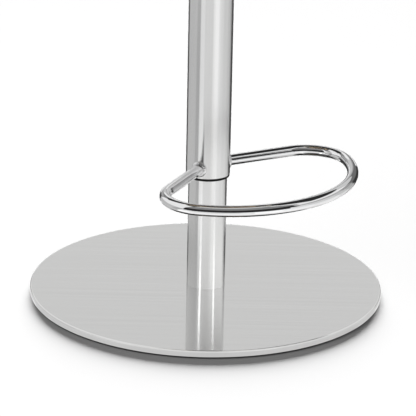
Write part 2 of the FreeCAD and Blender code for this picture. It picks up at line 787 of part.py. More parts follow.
def tee_nuts():
    nuts = []
    for x, y in seat_screw_places():
        nut = rod(TEE_NUT_BARREL / 2, board_bottom, board_top, x, y)
        nut = nut.fuse(rod(TEE_NUT_FLANGE / 2, board_top - TEE_NUT_FLANGE_THICKNESS, board_top, x, y))
        nut = nut.cut(rod(SEAT_SCREW_DIAMETER / 2 + FIT, board_bottom, board_top, x, y))
        nuts.append(nut.removeSplitter())
    return Part.makeCompound(nuts)


def seat_screws():
    screws = []
    head_top = flange_bottom - SEAT_WASHER_THICKNESS
    for x, y in seat_screw_places():
        screw = hexagon(SEAT_SCREW_HEAD, head_top - SEAT_SCREW_HEAD_HEIGHT, head_top, x, y)
        screw = screw.fuse(rod(SEAT_SCREW_DIAMETER / 2, head_top, board_top, x, y))
        screws.append(screw.removeSplitter())
    return Part.makeCompound(screws)


def seat_washers():
    washers = []
    bottom = flange_bottom - SEAT_WASHER_THICKNESS
    for x, y in seat_screw_places():
        washer = rod(SEAT_WASHER_DIAMETER / 2, bottom, flange_bottom, x, y)
        washers.append(washer.cut(rod(SEAT_SCREW_DIAMETER / 2 + FIT, bottom, flange_bottom, x, y)))
    return Part.makeCompound(washers)


def pad_section(offset):
    """The pad's drawn-in side, rounded shoulder and crown, stood out by an offset, as three arcs."""
    seam_out = offset * DIAGONAL
    seam_radius = board_radius + FOAM_SEAM_OUT
    seam_height = board_top + FOAM_SIDE_HEIGHT
    shoulder_radius = seam_radius - FOAM_SHOULDER_WIDTH
    shoulder_height = seam_height + FOAM_SHOULDER_RISE + offset
    foot = at(board_radius + offset, board_top)
    side = at(board_radius + FOAM_BULGE + offset, board_top + FOAM_SIDE_HEIGHT / 2)
    seam = at(seam_radius + seam_out, seam_height + seam_out)
    crown_top = at(0, shoulder_height + FOAM_CROWN_RISE)
    crown_arc = (FOAM_CROWN_RISE ** 2 + shoulder_radius ** 2) / (2 * FOAM_CROWN_RISE)

    def crown(radius):
        return at(radius, crown_top.z - crown_arc + math.sqrt(crown_arc ** 2 - radius ** 2))

    shoulder = crown(shoulder_radius)
    chord = shoulder - seam
    bow = FreeCAD.Vector(chord.z, 0, -chord.x) * FOAM_FULLNESS
    round_off = (seam + shoulder) * 0.5 + bow
    side_arc = Part.Arc(foot, side, seam).toShape()
    shoulder_arc = Part.Arc(seam, round_off, shoulder).toShape()
    crown_edge = Part.Arc(shoulder, crown(shoulder_radius / 2), crown_top).toShape()
    return foot, [side_arc, shoulder_arc, crown_edge], crown_top, seam


def seat_foam():
    foot, arcs, top, seam = pad_section(0)
    return turn(arcs + [
        Part.LineSegment(top, at(0, board_top)).toShape(),
        Part.LineSegment(at(0, board_top), foot).toShape(),
    ])


def piping_ring(radius):
    """The piping's cord, of this radius, sunk a little into the seam."""
    seam = pad_section(SOFT_GAP + LEATHER_THICKNESS)[3]
    out = (PIPING_DIAMETER / 2 - PIPING_SINK) * DIAGONAL
    return Part.makeTorus(seam.x + out, radius, FreeCAD.Vector(0, 0, seam.z + out))


def seat_cover():
    outer_foot, outer_arcs, outer_top, outer_seam = pad_section(SOFT_GAP + LEATHER_THICKNESS)
    inner_foot, inner_arcs, inner_top, inner_seam = pad_section(SOFT_GAP)
    hem_radius = board_radius - LEATHER_HEM_WIDTH
    hem_bottom = board_bottom - LEATHER_THICKNESS
    outer = turn(outer_arcs + [
        Part.LineSegment(outer_top, at(0, hem_bottom)).toShape(),
        Part.LineSegment(at(0, hem_bottom), at(outer_foot.x, hem_bottom)).toShape(),
        Part.LineSegment(at(outer_foot.x, hem_bottom), outer_foot).toShape(),
    ])
    inner = turn(inner_arcs + [
        Part.LineSegment(inner_top, at(0, board_bottom)).toShape(),
        Part.LineSegment(at(0, board_bottom), at(inner_foot.x, board_bottom)).toShape(),
        Part.LineSegment(at(inner_foot.x, board_bottom), inner_foot).toShape(),
    ])
    cover = outer.cut(inner).cut(rod(hem_radius, hem_bottom, board_bottom))
    return cover.cut(piping_ring(PIPING_DIAMETER / 2 + SOFT_GAP))


def seat_piping():
    return piping_ring(PIPING_DIAMETER / 2)


def dust_cover():
    top = board_bottom - LEATHER_THICKNESS
    return ring(DUST_COVER_OPENING / 2, board_radius - DUST_COVER_INSET, top - DUST_COVER_THICKNESS, top)


PIECES = [
    floor_ring, ballast_plate, base_cover, base_screws, lower_column, column_foot_plug, column_guide_bush,
    bearing_lower_race, bearing_upper_race, bearing_balls, bearing_cage,
    piston_rod, rod_washer, rod_clip, bump_stop, piston, piston_ring,
    pressure_tube, inner_cylinder, rod_guide, rod_seal, valve_body, valve_pin,
    sleeve_tube, sleeve_glide_bush, sleeve_top_plug, footrest_bar, footrest_welds,
    taper_socket, mechanism_pan, lever_bracket, lever_pivot_pin, lever_rod, lever_grip,
    seat_board, tee_nuts, seat_screws, seat_washers, seat_foam, seat_cover, seat_piping, dust_cover,
]

os.makedirs("parts", exist_ok=True)
for piece in PIECES:
    shape = piece()
    shape.exportStep(f"parts/{piece.__name__}.step")
    box = shape.BoundBox
    print(f"{piece.__name__}: valid {shape.isValid()}, solids {len(shape.Solids)}, "
          f"volume {shape.Volume:.1f}, z {box.ZMin:.2f} to {box.ZMax:.2f}")
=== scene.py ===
import math
import random

import bmesh
import bpy
from mathutils import Matrix, Vector, noise
from mathutils.bvhtree import BVHTree


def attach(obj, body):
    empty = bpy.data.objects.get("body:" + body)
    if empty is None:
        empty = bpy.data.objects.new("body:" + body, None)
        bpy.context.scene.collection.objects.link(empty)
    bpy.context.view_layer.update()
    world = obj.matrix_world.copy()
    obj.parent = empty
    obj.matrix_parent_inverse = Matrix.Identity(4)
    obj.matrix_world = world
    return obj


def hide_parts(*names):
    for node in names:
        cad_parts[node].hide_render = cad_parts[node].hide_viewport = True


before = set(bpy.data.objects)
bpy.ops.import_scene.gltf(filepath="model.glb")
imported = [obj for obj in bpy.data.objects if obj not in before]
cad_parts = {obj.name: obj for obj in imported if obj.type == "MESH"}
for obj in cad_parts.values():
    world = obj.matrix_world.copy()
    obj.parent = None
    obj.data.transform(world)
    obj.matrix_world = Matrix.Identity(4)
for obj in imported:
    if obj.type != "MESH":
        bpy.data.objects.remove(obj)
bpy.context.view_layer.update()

# The studio: a camera with a long lens, 2.7 m off and 1 m up, and a white floor under an even white sky.
# A low lamp behind the stool lights the floor alone and draws the base's shadow on it. Seen from below
# the floor is clear, so that the stool's underside shows.

CAMERA_PLACE = (-1.8489, -1.7036, 0.9938)
CAMERA_HEADING = math.radians(-47.366)
CAMERA_PITCH = math.radians(19.535)
CAMERA_ROLL = math.radians(1.192)
CAMERA_LENS = 199.3
CAMERA_SIGHT = 100


def add_object(name, data):
    """A new object in the scene, at the origin."""
    made = bpy.data.objects.new(name, data)
    bpy.context.scene.collection.objects.link(made)
    return made


camera_lens = bpy.data.cameras.new("camera")
camera_lens.lens = CAMERA_LENS
camera_lens.clip_end = CAMERA_SIGHT
camera = add_object("camera", camera_lens)
to_the_stool = Matrix.Rotation(CAMERA_HEADING, 4, "Z")
tipped_down = Matrix.Rotation(math.pi / 2 - CAMERA_PITCH, 4, "X")
rolled = Matrix.Rotation(CAMERA_ROLL, 4, "Z")
camera.matrix_world = Matrix.Translation(CAMERA_PLACE) @ to_the_stool @ tipped_down @ rolled
bpy.context.scene.camera = camera
bpy.context.scene.view_settings.view_transform = "Standard"


def add_node(tree, kind, inputs=(), **settings):
    """A shader node with its settings; inputs pairs a socket with a value or with another node's socket."""
    node = tree.nodes.new("ShaderNode" + kind)
    for name, value in settings.items():
        setattr(node, name, value)
    for socket, value in inputs:
        if isinstance(value, bpy.types.NodeSocket):
            tree.links.new(value, node.inputs[socket])
        else:
            node.inputs[socket].default_value = value
    return node


def seen_directly(tree):
    """1 for what the camera sees, straight or in metal and glass, and 0 for light that bounces."""
    path = add_node(tree, "LightPath")
    mirrored = [(0, path.outputs["Is Glossy Ray"]), (1, path.outputs["Is Transmission Ray"])]
    either = add_node(tree, "Math", mirrored, operation="MAXIMUM")
    straight = [(0, path.outputs["Is Camera Ray"]), (1, either.outputs[0])]
    return add_node(tree, "Math", straight, operation="MAXIMUM").outputs[0]


def add_mesh(name, bm):
    """An object at the origin with the mesh of a bmesh, which is freed."""
    mesh = bpy.data.meshes.new(name)
    bm.to_mesh(mesh)
    bm.free()
    return add_object(name, mesh)


SKY_SHOWN = 1.0
SKY_LIGHT = 0.75

world = bpy.data.worlds.new("white_sky")
world.use_nodes = True
sky = world.node_tree.nodes["Background"]
sky.inputs["Color"].default_value = (1, 1, 1, 1)
sky_range = [("Value", seen_directly(world.node_tree)), ("To Min", SKY_LIGHT), ("To Max", SKY_SHOWN)]
sky_level = add_node(world.node_tree, "MapRange", sky_range)
world.node_tree.links.new(sky_level.outputs["Result"], sky.inputs["Strength"])
bpy.context.scene.world = world

# The floor is grey, and its own lamp lights it up to white, so that the base's shadow on it is dark
FLOOR_HALF = 30.0
FLOOR_HEIGHT = -0.0002
FLOOR_COLOUR = (0.15, 0.15, 0.15, 1)
FLOOR_MIRRORED = 1.08

floor_bm = bmesh.new()
on_the_ground = Matrix.Translation((0, 0, FLOOR_HEIGHT))
bmesh.ops.create_grid(floor_bm, x_segments=1, y_segments=1, size=FLOOR_HALF, matrix=on_the_ground)
floor = add_mesh("floor", floor_bm)
floor_paint = bpy.data.materials.new("white_floor")
floor_paint.use_nodes = True
floor_tree = floor_paint.node_tree
floor_tree.nodes.clear()
paint = add_node(floor_tree, "BsdfDiffuse", [("Color", FLOOR_COLOUR)])
mirrored_floor = add_node(floor_tree, "Emission", [("Strength", FLOOR_MIRRORED)])
in_metal = add_node(floor_tree, "LightPath").outputs["Is Glossy Ray"]
floor_top = [(0, in_metal), (1, paint.outputs[0]), (2, mirrored_floor.outputs[0])]
top = add_node(floor_tree, "MixShader", floor_top)
clear = add_node(floor_tree, "BsdfTransparent")
back = add_node(floor_tree, "NewGeometry").outputs["Backfacing"]
both = add_node(floor_tree, "MixShader", [(0, back), (1, top.outputs[0]), (2, clear.outputs[0])])
add_node(floor_tree, "OutputMaterial", [("Surface", both.outputs[0])])
floor.data.materials.append(floor_paint)

FLOOR_LAMP_HEIGHT = math.radians(12.5)
FLOOR_LAMP_SPREAD = math.radians(30)
FLOOR_LAMP_POWER = 83

floor_lamp = bpy.data.lights.new("floor_lamp", "SUN")
floor_lamp.energy = FLOOR_LAMP_POWER
floor_lamp.angle = FLOOR_LAMP_SPREAD
floor_light = add_object("floor_lamp", floor_lamp)
floor_light.rotation_euler = (math.pi / 2 - FLOOR_LAMP_HEIGHT, 0, math.pi + CAMERA_HEADING)
lit_by_it = bpy.data.collections.new("lit_by_floor_lamp")
lit_by_it.objects.link(floor)
floor_light.light_linking.receiver_collection = lit_by_it
shading_it = bpy.data.collections.new("shading_floor_lamp")
for name in ("floor_ring", "ballast_plate"):
    shading_it.objects.link(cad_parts[name])
floor_light.light_linking.blocker_collection = shading_it

# Studio cards: grey and white cards and black flags that only polished metal sees, lying on the floor in
# rings and standing round it as a backdrop. Shelves and a lid show only in reflections of reflections.
# Angles are degrees from the line to the camera, positive to its right.

CARD_STEPS = 24
CARD_LIFT = 0.001
NEAR_AXIS = 0.01
RIM_START = 0.2075
FOOT_START = 0.235
NEAR_START = 0.34
FAR_START = 0.62
LID_RADIUS = 1.15
LID_HEIGHT = 1.0
WALL_RADIUS = 1.5
KERB_TOP = 0.26
REAR_START = 0.26
REAR_TOP = 0.32
LOW_TOP = 0.76
ROOM_TOP = 1.05
HIGH_TOP = 1.21
ROOF_RADIUS = 0.75
ROOF_EDGE = 1.8
ROOF_TOP = 1.9
SHELF_START = 0.24
SHELF_SPLIT = 0.43
SHELF_HEIGHT = 0.155
ROOM_LEFT = -52
ROOM_RIGHT = 54
ROOM_LEVEL = 0.03
SECOND_BOUNCE = 1.5
TO_CAMERA = math.degrees(math.atan2(CAMERA_PLACE[1], CAMERA_PLACE[0]))

# The footrest and its welds come into this collection later, marked as left out of a card's light
all_but_footrest = bpy.data.collections.new("all_but_footrest")


def as_card(card, level, hidden=None, to_footrest=None):
    """Make an object a card of one brightness that only metal sees; hidden gives the socket that clears it.

    The footrest can be left out of its light, and then sees a share of the sky through it.
    """
    card.visible_camera = False
    card.visible_diffuse = False
    card.visible_shadow = False
    card.visible_transmission = False
    board = bpy.data.materials.new(card.name)
    board.use_nodes = True
    tree = board.node_tree
    tree.nodes.clear()
    through = add_node(tree, "BsdfTransparent")
    glow = add_node(tree, "Emission", [("Strength", level)])
    shown = glow.outputs[0]
    if to_footrest is not None:
        glow.inputs["Strength"].default_value = level - to_footrest
        through.inputs["Color"].default_value = (to_footrest, to_footrest, to_footrest, 1)
        shown = add_node(tree, "AddShader", [(0, shown), (1, through.outputs[0])]).outputs[0]
        card.light_linking.receiver_collection = all_but_footrest
    if hidden:
        cleared = [(0, hidden(tree)), (1, shown), (2, through.outputs[0])]
        shown = add_node(tree, "MixShader", cleared).outputs[0]
    add_node(tree, "OutputMaterial", [("Surface", shown)])
    card.data.materials.append(board)


def first_bounce(tree):
    """1 for what metal mirrors straight, and 0 for what it mirrors in other metal."""
    depth = add_node(tree, "LightPath").outputs["Ray Depth"]
    return add_node(tree, "Math", [(0, depth), (1, SECOND_BOUNCE)], operation="LESS_THAN").outputs[0]


def studio_card(name, outline, left, right, level, hidden=None, to_footrest=None):
    """A card whose outline of (radius, height) points is turned from one angle to another."""
    bm = bmesh.new()
    points = [bm.verts.new((radius, 0, height)) for radius, height in outline]
    for first, second in zip(points, points[1:]):
        bm.edges.new((first, second))
    bmesh.ops.rotate(bm, verts=bm.verts, matrix=Matrix.Rotation(math.radians(TO_CAMERA + left), 3, "Z"))
    sweep = math.radians(right - left)
    bmesh.ops.spin(bm, geom=bm.verts[:] + bm.edges[:], axis=(0, 0, 1), angle=sweep, steps=CARD_STEPS)
    as_card(add_mesh(name, bm), level, hidden, to_footrest)


RIM_CARD = [(RIM_START, CARD_LIFT), (FOOT_START, CARD_LIFT)]
FOOT_CARD = [(FOOT_START, CARD_LIFT), (NEAR_START, CARD_LIFT)]
NEAR_CARD = [(NEAR_START, CARD_LIFT), (FAR_START, CARD_LIFT)]
FAR_CARD = [(FAR_START, CARD_LIFT), (LID_RADIUS, CARD_LIFT)]
KERB = [(LID_RADIUS, CARD_LIFT), (WALL_RADIUS, CARD_LIFT), (WALL_RADIUS, KERB_TOP)]
INNER_SHELF = [(SHELF_START, SHELF_HEIGHT), (SHELF_SPLIT, SHELF_HEIGHT)]
OUTER_SHELF = [(SHELF_SPLIT, SHELF_HEIGHT), (WALL_RADIUS, SHELF_HEIGHT)]
# Each sector's two angles, and its brightness on the foot, near and far cards, and the two shelves
SECTORS = [
    (-138, -72, 0.62, 0.64, 0.6, 1.14, 0.8), (-72, -52, 0.6, 0.5, 0.48, 1.14, 0.8),
    (-52, -40, 1.45, 1.05, 0.95, 1.3, 1.5), (-40, -29, 1.35, 1.1, 0.95, 4.8, 1.6),
    (-29, 14, 1.15, 0.95, 0.82, 1.35, 1.65), (14, 24, 1.1, 1.02, 1.1, 1.35, 1.9),
    (24, 44, 1.15, 1.25, 1.22, 1.35, 2.4), (44, 54, 1.15, 1.1, 1.0, 4.2, 2.1),
    (54, 70, 1.1, 1.1, 0.85, 1.4, 2.0), (70, 100, 1.05, 1.0, 0.75, 1.4, 2.0),
    (100, 116, 0.9, 0.85, 0.66, 1.4, 1.8), (116, 130, 0.6, 0.6, 0.5, 1.4, 0.9),
]
for number, (left, right, foot, near, far, inner, outer) in enumerate(SECTORS, 1):
    studio_card(f"foot_card_{number}", FOOT_CARD, left, right, foot)
    studio_card(f"near_card_{number}", NEAR_CARD, left, right, near)
    studio_card(f"far_card_{number}", FAR_CARD, left, right, far)
    in_room = ROOM_LEFT <= left and right <= ROOM_RIGHT
    studio_card(f"kerb_{number}", KERB, left, right, far, to_footrest=ROOM_LEVEL if in_room else None)
    studio_card(f"inner_shelf_{number}", INNER_SHELF, left, right, inner, first_bounce)
    studio_card(f"outer_shelf_{number}", OUTER_SHELF, left, right, outer, first_bounce)
REAR_FLOOR = [(REAR_START, CARD_LIFT), (WALL_RADIUS, CARD_LIFT)]
REAR_KERB = [(WALL_RADIUS, CARD_LIFT), (WALL_RADIUS, REAR_TOP)]
HIGH_FLAG = [(0.8, 0.9), (0.3, 1.22)]
DARK_LID = [(NEAR_AXIS, LID_HEIGHT), (LID_RADIUS, LID_HEIGHT)]
# Each of the other cards' name, outline, two angles and brightness, and what clears it
OTHER_CARDS = [
    ("rim_card", RIM_CARD, -180, 180, 0.8, None), ("rear_shelf", OUTER_SHELF, 130, 222, 0.08, first_bounce),
    ("rear_flag", REAR_FLOOR, 130, 222, 0.05, None), ("rear_flag_right", REAR_KERB, 130, 156, 0.05, None),
    ("rear_flag_left", REAR_KERB, 204, 222, 0.1, None), ("high_flag", HIGH_FLAG, 95, 165, 0.03, None),
    ("dark_lid", DARK_LID, -180, 180, 0.04, first_bounce),
]
for name, outline, left, right, level, hidden in OTHER_CARDS:
    studio_card(name, outline, left, right, level, hidden)
# What the footrest sees of the sky: each card's outline, two angles and brightness. To all else these
# cards are as bright as the sky.
ROOM_WALL = [(WALL_RADIUS, KERB_TOP), (WALL_RADIUS, ROOM_TOP)]
SIDE_WALL = [(WALL_RADIUS, KERB_TOP), (WALL_RADIUS, LOW_TOP)]
REAR_WALL = [(WALL_RADIUS, REAR_TOP), (WALL_RADIUS, LOW_TOP)]
HIGH_WALL = [(WALL_RADIUS, LOW_TOP), (WALL_RADIUS, HIGH_TOP)]
CEILING = [(WALL_RADIUS, ROOM_TOP), (ROOF_RADIUS, ROOF_EDGE)]
REAR_CEILING = [(WALL_RADIUS, HIGH_TOP), (ROOF_RADIUS, ROOF_EDGE)]
ROOF = [(ROOF_RADIUS, ROOF_EDGE), (NEAR_AXIS, ROOF_TOP)]
SKY_CARDS = [
    (ROOM_WALL, ROOM_LEFT, 62, ROOM_LEVEL), (SIDE_WALL, 62, 112, 0.6), (SIDE_WALL, 112, 130, 0.4),
    (REAR_WALL, 130, 168, 0.18), (REAR_WALL, 168, 175, 0.45), (REAR_WALL, 175, 196, 0.65),
    (REAR_WALL, 196, 226, 0.44), (HIGH_WALL, 130, 172, 0.7), (HIGH_WALL, 198, 226, 0.28),
    (CEILING, ROOM_LEFT, 70, 0.28), (REAR_CEILING, 85, 235, ROOM_LEVEL),
    (ROOF, -150, -50, ROOM_LEVEL), (ROOF, -50, 150, 0.65), (ROOF, 150, 210, ROOM_LEVEL),
]
for number, (outline, left, right, level) in enumerate(SKY_CARDS, 1):
    studio_card(f"sky_card_{number}", outline, left, right, SKY_SHOWN, to_footrest=level)

# Softbox: a large lamp high on the left, which gives the soft pieces their shape. Metal does not see it,
# so it leaves no glare on the chrome.

LAMP_PLACE = (-1.6, 0.4, 2.4)
LAMP_SIZE = 1.6
LAMP_POWER = 38

softbox_lamp = bpy.data.lights.new("softbox", "AREA")
softbox_lamp.size = LAMP_SIZE
softbox_lamp.energy = LAMP_POWER
softbox = add_object("softbox", softbox_lamp)
softbox.location = LAMP_PLACE
softbox.rotation_euler = (-Vector(LAMP_PLACE)).to_track_quat("-Z", "Y").to_euler()
softbox.visible_camera = False
softbox.visible_glossy = False

# Floor ring: a black rubber ring near the edge of the base's underside, which grips the floor. It
# is cut from extruded strip and glued to the steel plate.


def new_finish(name, **values):
    """A material with one Principled shader; values are its constant sockets, by name with _ for space."""
    material = bpy.data.materials.new(name)
    material.use_nodes = True
    shader = material.node_tree.nodes["Principled BSDF"]
    for socket, value in values.items():
        shader.inputs[socket.replace("_", " ")].default_value = value
    return material, material.node_tree, shader


def new_effect(name, inputs, outputs):
    """A shader node group with its named sockets, and its input and output nodes."""
    group = bpy.data.node_groups.new(name, "ShaderNodeTree")
    for socket, kind in inputs:
        group.interface.new_socket(socket, in_out="INPUT", socket_type="NodeSocket" + kind)
    for socket, kind in outputs:
        group.interface.new_socket(socket, in_out="OUTPUT", socket_type="NodeSocket" + kind)
    return group, group.nodes.new("NodeGroupInput").outputs, group.nodes.new("NodeGroupOutput").inputs


def add_noise(tree, place, scale, detail):
    """A noise texture over a place, with its scale and its layers of detail."""
    return add_node(tree, "TexNoise", [("Vector", place), ("Scale", scale), ("Detail", detail)])


# Grain effect: broad uneven patches, and a fine grain for the surface's relief
PATCH_SCALE = 0.08
grain, grain_in, grain_out = new_effect(
    "grain", [("Vector", "Vector"), ("Scale", "Float")], [("Patches", "Float"), ("Height", "Float")]
)
patch_scale = add_node(grain, "Math", [(0, grain_in["Scale"]), (1, PATCH_SCALE)], operation="MULTIPLY")
patches = add_noise(grain, grain_in["Vector"], scale=patch_scale.outputs[0], detail=4.0)
fine = add_noise(grain, grain_in["Vector"], scale=grain_in["Scale"], detail=2.0)
grain.links.new(patches.outputs["Fac"], grain_out["Patches"])
grain.links.new(fine.outputs["Fac"], grain_out["Height"])


def shade_between(tree, shader, share, tones, roughness):
    """Vary a shader's colour and roughness between two of each by a share that changes over the surface."""
    mixed = [(0, share), (6, (*tones[0], 1)), (7, (*tones[1], 1))]
    tone = add_node(tree, "Mix", mixed, data_type="RGBA")
    limits = [("Value", share), ("To Min", roughness[0]), ("To Max", roughness[1])]
    gloss = add_node(tree, "MapRange", limits)
    tree.links.new(tone.outputs[2], shader.inputs["Base Color"])
    tree.links.new(gloss.outputs["Result"], shader.inputs["Roughness"])


def add_relief(tree, shader, height, depth):
    """Raise a shader's surface by a height that changes over it, up to a depth in metres."""
    bump = add_node(tree, "Bump", [("Height", height), ("Strength", 1.0), ("Distance", depth)])
    tree.links.new(bump.outputs["Normal"], shader.inputs["Normal"])


def grained_finish(name, dark, light, smooth, rough, scale, depth, **values):
    """A moulded, painted, cast or plated finish: two tones, an uneven gloss and a fine grain."""
    material, tree, shader = new_finish(name, **values)
    place = add_node(tree, "TexCoord").outputs["Object"]
    grained = add_node(tree, "Group", [("Vector", place), ("Scale", scale)], node_tree=grain)
    limits = [("Value", grained.outputs["Patches"]), ("From Min", 0.3), ("From Max", 0.7)]
    spread = add_node(tree, "MapRange", limits)
    shade_between(tree, shader, spread.outputs["Result"], (dark, light), (smooth, rough))
    add_relief(tree, shader, grained.outputs["Height"], depth)
    return material


def dress(material, *nodes):
    """Give this finish to pieces whose shape comes from the frame as it is."""
    for name in nodes:
        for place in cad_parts[name].material_slots:
            place.material = material


rubber = grained_finish(
    "black_rubber", dark=(0.016,) * 3, light=(0.026,) * 3, smooth=0.66, rough=0.82, scale=900, depth=0.00008
)
dress(rubber, "floor_ring")

# Ballast plate and base screws: a 6 mm laser-cut steel disc that keeps the stool upright, painted
# against rust, and three zinc-plated countersunk screws that hold the column to it from below.

black_paint = grained_finish(
    "black_paint", dark=(0.026,) * 3, light=(0.036,) * 3, smooth=0.38, rough=0.5, scale=1400, depth=0.00003
)
zinc = grained_finish(
    "zinc_plate", dark=(0.5, 0.5, 0.51), light=(0.62, 0.62, 0.62), smooth=0.28, rough=0.44, scale=1100,
    depth=0.00001, Metallic=1.0,
)
dress(black_paint, "ballast_plate")
dress(zinc, "base_screws")

# Base cover: a 1 mm skin of stainless sheet, spun over the plate with a rolled and polished rim. Its
# top is satin, brushed one way, and still mirrors the column's foot.

MM = 0.001
TURN_STEPS = 192
ROUND_STEPS = 5
SHARP = math.radians(40)
SAME_POINT = 1e-7
LEVEL_NORMAL = 0.999
COVER_RADIUS = 205.0
COVER_WALL = 1.0
COVER_TOP = 9.0
COVER_UNDER = 8.0
COVER_FOOT = 2.0
COVER_HOLE = 22.275
COVER_EDGE = 1.6
COVER_RIM_EDGE = 0.3


def draw_section(bm, corners, closed=True):
    """A wire in XZ through (radius, height, rounding) corners in mm, held flat beside each rounding."""
    points = []
    rounded = []
    for place, (radius, height, rounding) in enumerate(corners):
        corner = Vector((radius, 0, height)) * MM
        if not rounding:
            points.append(bm.verts.new(corner))
            continue
        for step in (-1, 0, 1):
            other = corners[(place + step) % len(corners)]
            towards = Vector((other[0], 0, other[1])) * MM - corner
            points.append(bm.verts.new(corner + towards.normalized() * 2 * rounding * MM))
        rounded.append((points[-2], rounding))
    ends = points[1:] + points[:1] if closed else points[1:]
    for first, second in zip(points, ends):
        bm.edges.new((first, second))
    for point, rounding in rounded:
        bmesh.ops.bevel(
            bm, geom=[point], offset=rounding * MM, offset_type="OFFSET", affect="VERTICES",
            segments=ROUND_STEPS, profile=0.5, material=-1,
        )


def full_turn(bm, steps):
    """Turn the wire that a bmesh holds once round the Z axis."""
    wire = bm.verts[:] + bm.edges[:]
    bmesh.ops.spin(bm, geom=wire, axis=(0, 0, 1), angle=2 * math.pi, steps=steps, use_merge=True)


def turned(corners, steps=TURN_STEPS, closed=True):
    """The skin that a section makes when it is turned once round the column's axis."""
    bm = bmesh.new()
    draw_section(bm, corners, closed)
    full_turn(bm, steps)
    bmesh.ops.remove_doubles(bm, verts=bm.verts, dist=SAME_POINT)
    bmesh.ops.recalc_face_normals(bm, faces=bm.faces)
    return bm


def add_piece(name, bm, body, finishes, replaced=()):
    """Make a bmesh a piece of the stool: smooth, finished, riding on its body and standing for its nodes."""
    for face in bm.faces:
        face.smooth = True
    piece = add_mesh(name, bm)
    piece.data.set_sharp_from_angle(angle=SHARP)
    for finish in finishes:
        piece.data.materials.append(finish)
    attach(piece, body)
    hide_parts(*replaced)
    return piece


# Brushed effect: fine parallel lines, for coordinates that are stretched along them
FINE_SHARE = 0.55
brushed, brushed_in, brushed_out = new_effect(
    "brushed", [("Vector", "Vector")], [("Lines", "Float"), ("Height", "Float")]
)
broad_lines = add_noise(brushed, brushed_in["Vector"], scale=0.22, detail=3.0)
fine_lines = add_noise(brushed, brushed_in["Vector"], scale=1.0, detail=2.0)
both_lines = [(0, FINE_SHARE), (2, broad_lines.outputs["Fac"]), (3, fine_lines.outputs["Fac"])]
line_mix = add_node(brushed, "Mix", both_lines)
line_limits = [("Value", line_mix.outputs[0]), ("From Min", 0.34), ("From Max", 0.66)]
line_range = add_node(brushed, "MapRange", line_limits)
brushed.links.new(line_range.outputs["Result"], brushed_out["Lines"])
brushed.links.new(fine_lines.outputs["Fac"], brushed_out["Height"])


def brushed_finish(name, dark, light, smooth, rough, stretch, turn, depth, **values):
    """A brushed metal or a wood: lines that run along the least stretched axis, after a turn about Z."""
    material, tree, shader = new_finish(name, **{"Metallic": 1.0, **values})
    place = add_node(tree, "TexCoord").outputs["Object"]
    across = add_node(tree, "Mapping", [("Vector", place), ("Rotation", (0, 0, turn))], vector_type="POINT")
    lengthwise = add_node(tree, "Mapping", [("Vector", across.outputs[0]), ("Scale", stretch)])
    lines = add_node(tree, "Group", [("Vector", lengthwise.outputs[0])], node_tree=brushed)
    shade_between(tree, shader, lines.outputs["Lines"], (dark, light), (smooth, rough))
    add_relief(tree, shader, lines.outputs["Height"], depth)
    return material, tree, shader


satin, satin_tree, satin_shader = brushed_finish(
    "satin_stainless", dark=(0.515, 0.515, 0.51), light=(0.545, 0.545, 0.54), smooth=0.07, rough=0.12,
    stretch=(6, 900, 900), turn=-CAMERA_HEADING, depth=2e-7, Anisotropic=0.8,
)
brush_way = add_node(satin_tree, "Tangent", direction_type="UV_MAP", uv_map="brush")
satin_tree.links.new(brush_way.outputs[0], satin_shader.inputs["Tangent"])
polished_rim = grained_finish(
    "polished_rim", dark=(0.66, 0.66, 0.655), light=(0.71, 0.71, 0.705), smooth=0.06, rough=0.12, scale=300,
    depth=1e-6, Metallic=1.0,
)

cover_bm = turned([
    (COVER_HOLE, COVER_UNDER, 0), (COVER_RADIUS - COVER_WALL, COVER_UNDER, 0),
    (COVER_RADIUS - COVER_WALL, COVER_FOOT, 0), (COVER_RADIUS, COVER_FOOT, COVER_RIM_EDGE),
    (COVER_RADIUS, COVER_TOP, COVER_EDGE), (COVER_HOLE, COVER_TOP, 0),
])
brush_map = cover_bm.loops.layers.uv.new("brush")
brush_turn = Matrix.Rotation(-CAMERA_HEADING, 3, "Z")
for face in cover_bm.faces:
    face.material_index = 0 if face.normal.z > LEVEL_NORMAL else 1
    for loop in face.loops:
        along = brush_turn @ loop.vert.co
        loop[brush_map].uv = (along.y, along.x)
add_piece("base_cover_skin", cover_bm, "base", [satin, polished_rim], ["base_cover"])

# Lower tube: welded steel tube of 44.45 mm, ground, polished and chrome plated. It stands through the
# cover's hole on the steel plate.

COLUMN_RADIUS = 22.225
COLUMN_BORE = 20.225
COLUMN_FOOT = 8.0
COLUMN_TOP = 432.1
TUBE_EDGE = 0.4

chrome_tube, tube_tree, tube_shader = brushed_finish(
    "polished_tube", dark=(0.71, 0.71, 0.71), light=(0.73, 0.73, 0.725), smooth=0.19, rough=0.23,
    stretch=(160, 160, 5), turn=0, depth=0.0, Anisotropic=0.95, Anisotropic_Rotation=0.25,
)
round_the_tube = add_node(tube_tree, "Tangent", direction_type="RADIAL", axis="Z")
tube_tree.links.new(round_the_tube.outputs[0], tube_shader.inputs["Tangent"])

column_bm = turned([
    (COLUMN_BORE, COLUMN_FOOT, 0), (COLUMN_RADIUS, COLUMN_FOOT, TUBE_EDGE),
    (COLUMN_RADIUS, COLUMN_TOP, TUBE_EDGE), (COLUMN_BORE, COLUMN_TOP, 0),
])
add_piece("lower_column_tube", column_bm, "base", [chrome_tube], ["lower_column"])

# Column fittings: a turned steel plug in the tube's foot, which takes the screws and the gas spring's
# rod, and a moulded guide pressed into its top.

turned_steel, _, _ = brushed_finish(
    "turned_steel", dark=(0.48, 0.48, 0.49), light=(0.6, 0.6, 0.6), smooth=0.25, rough=0.4,
    stretch=(40, 40, 2600), turn=0, depth=2e-6,
)
black_plastic = grained_finish(
    "black_plastic", dark=(0.02,) * 3, light=(0.03,) * 3, smooth=0.42, rough=0.56, scale=2200, depth=0.00004
)
dress(turned_steel, "column_foot_plug")
dress(black_plastic, "column_guide_bush")

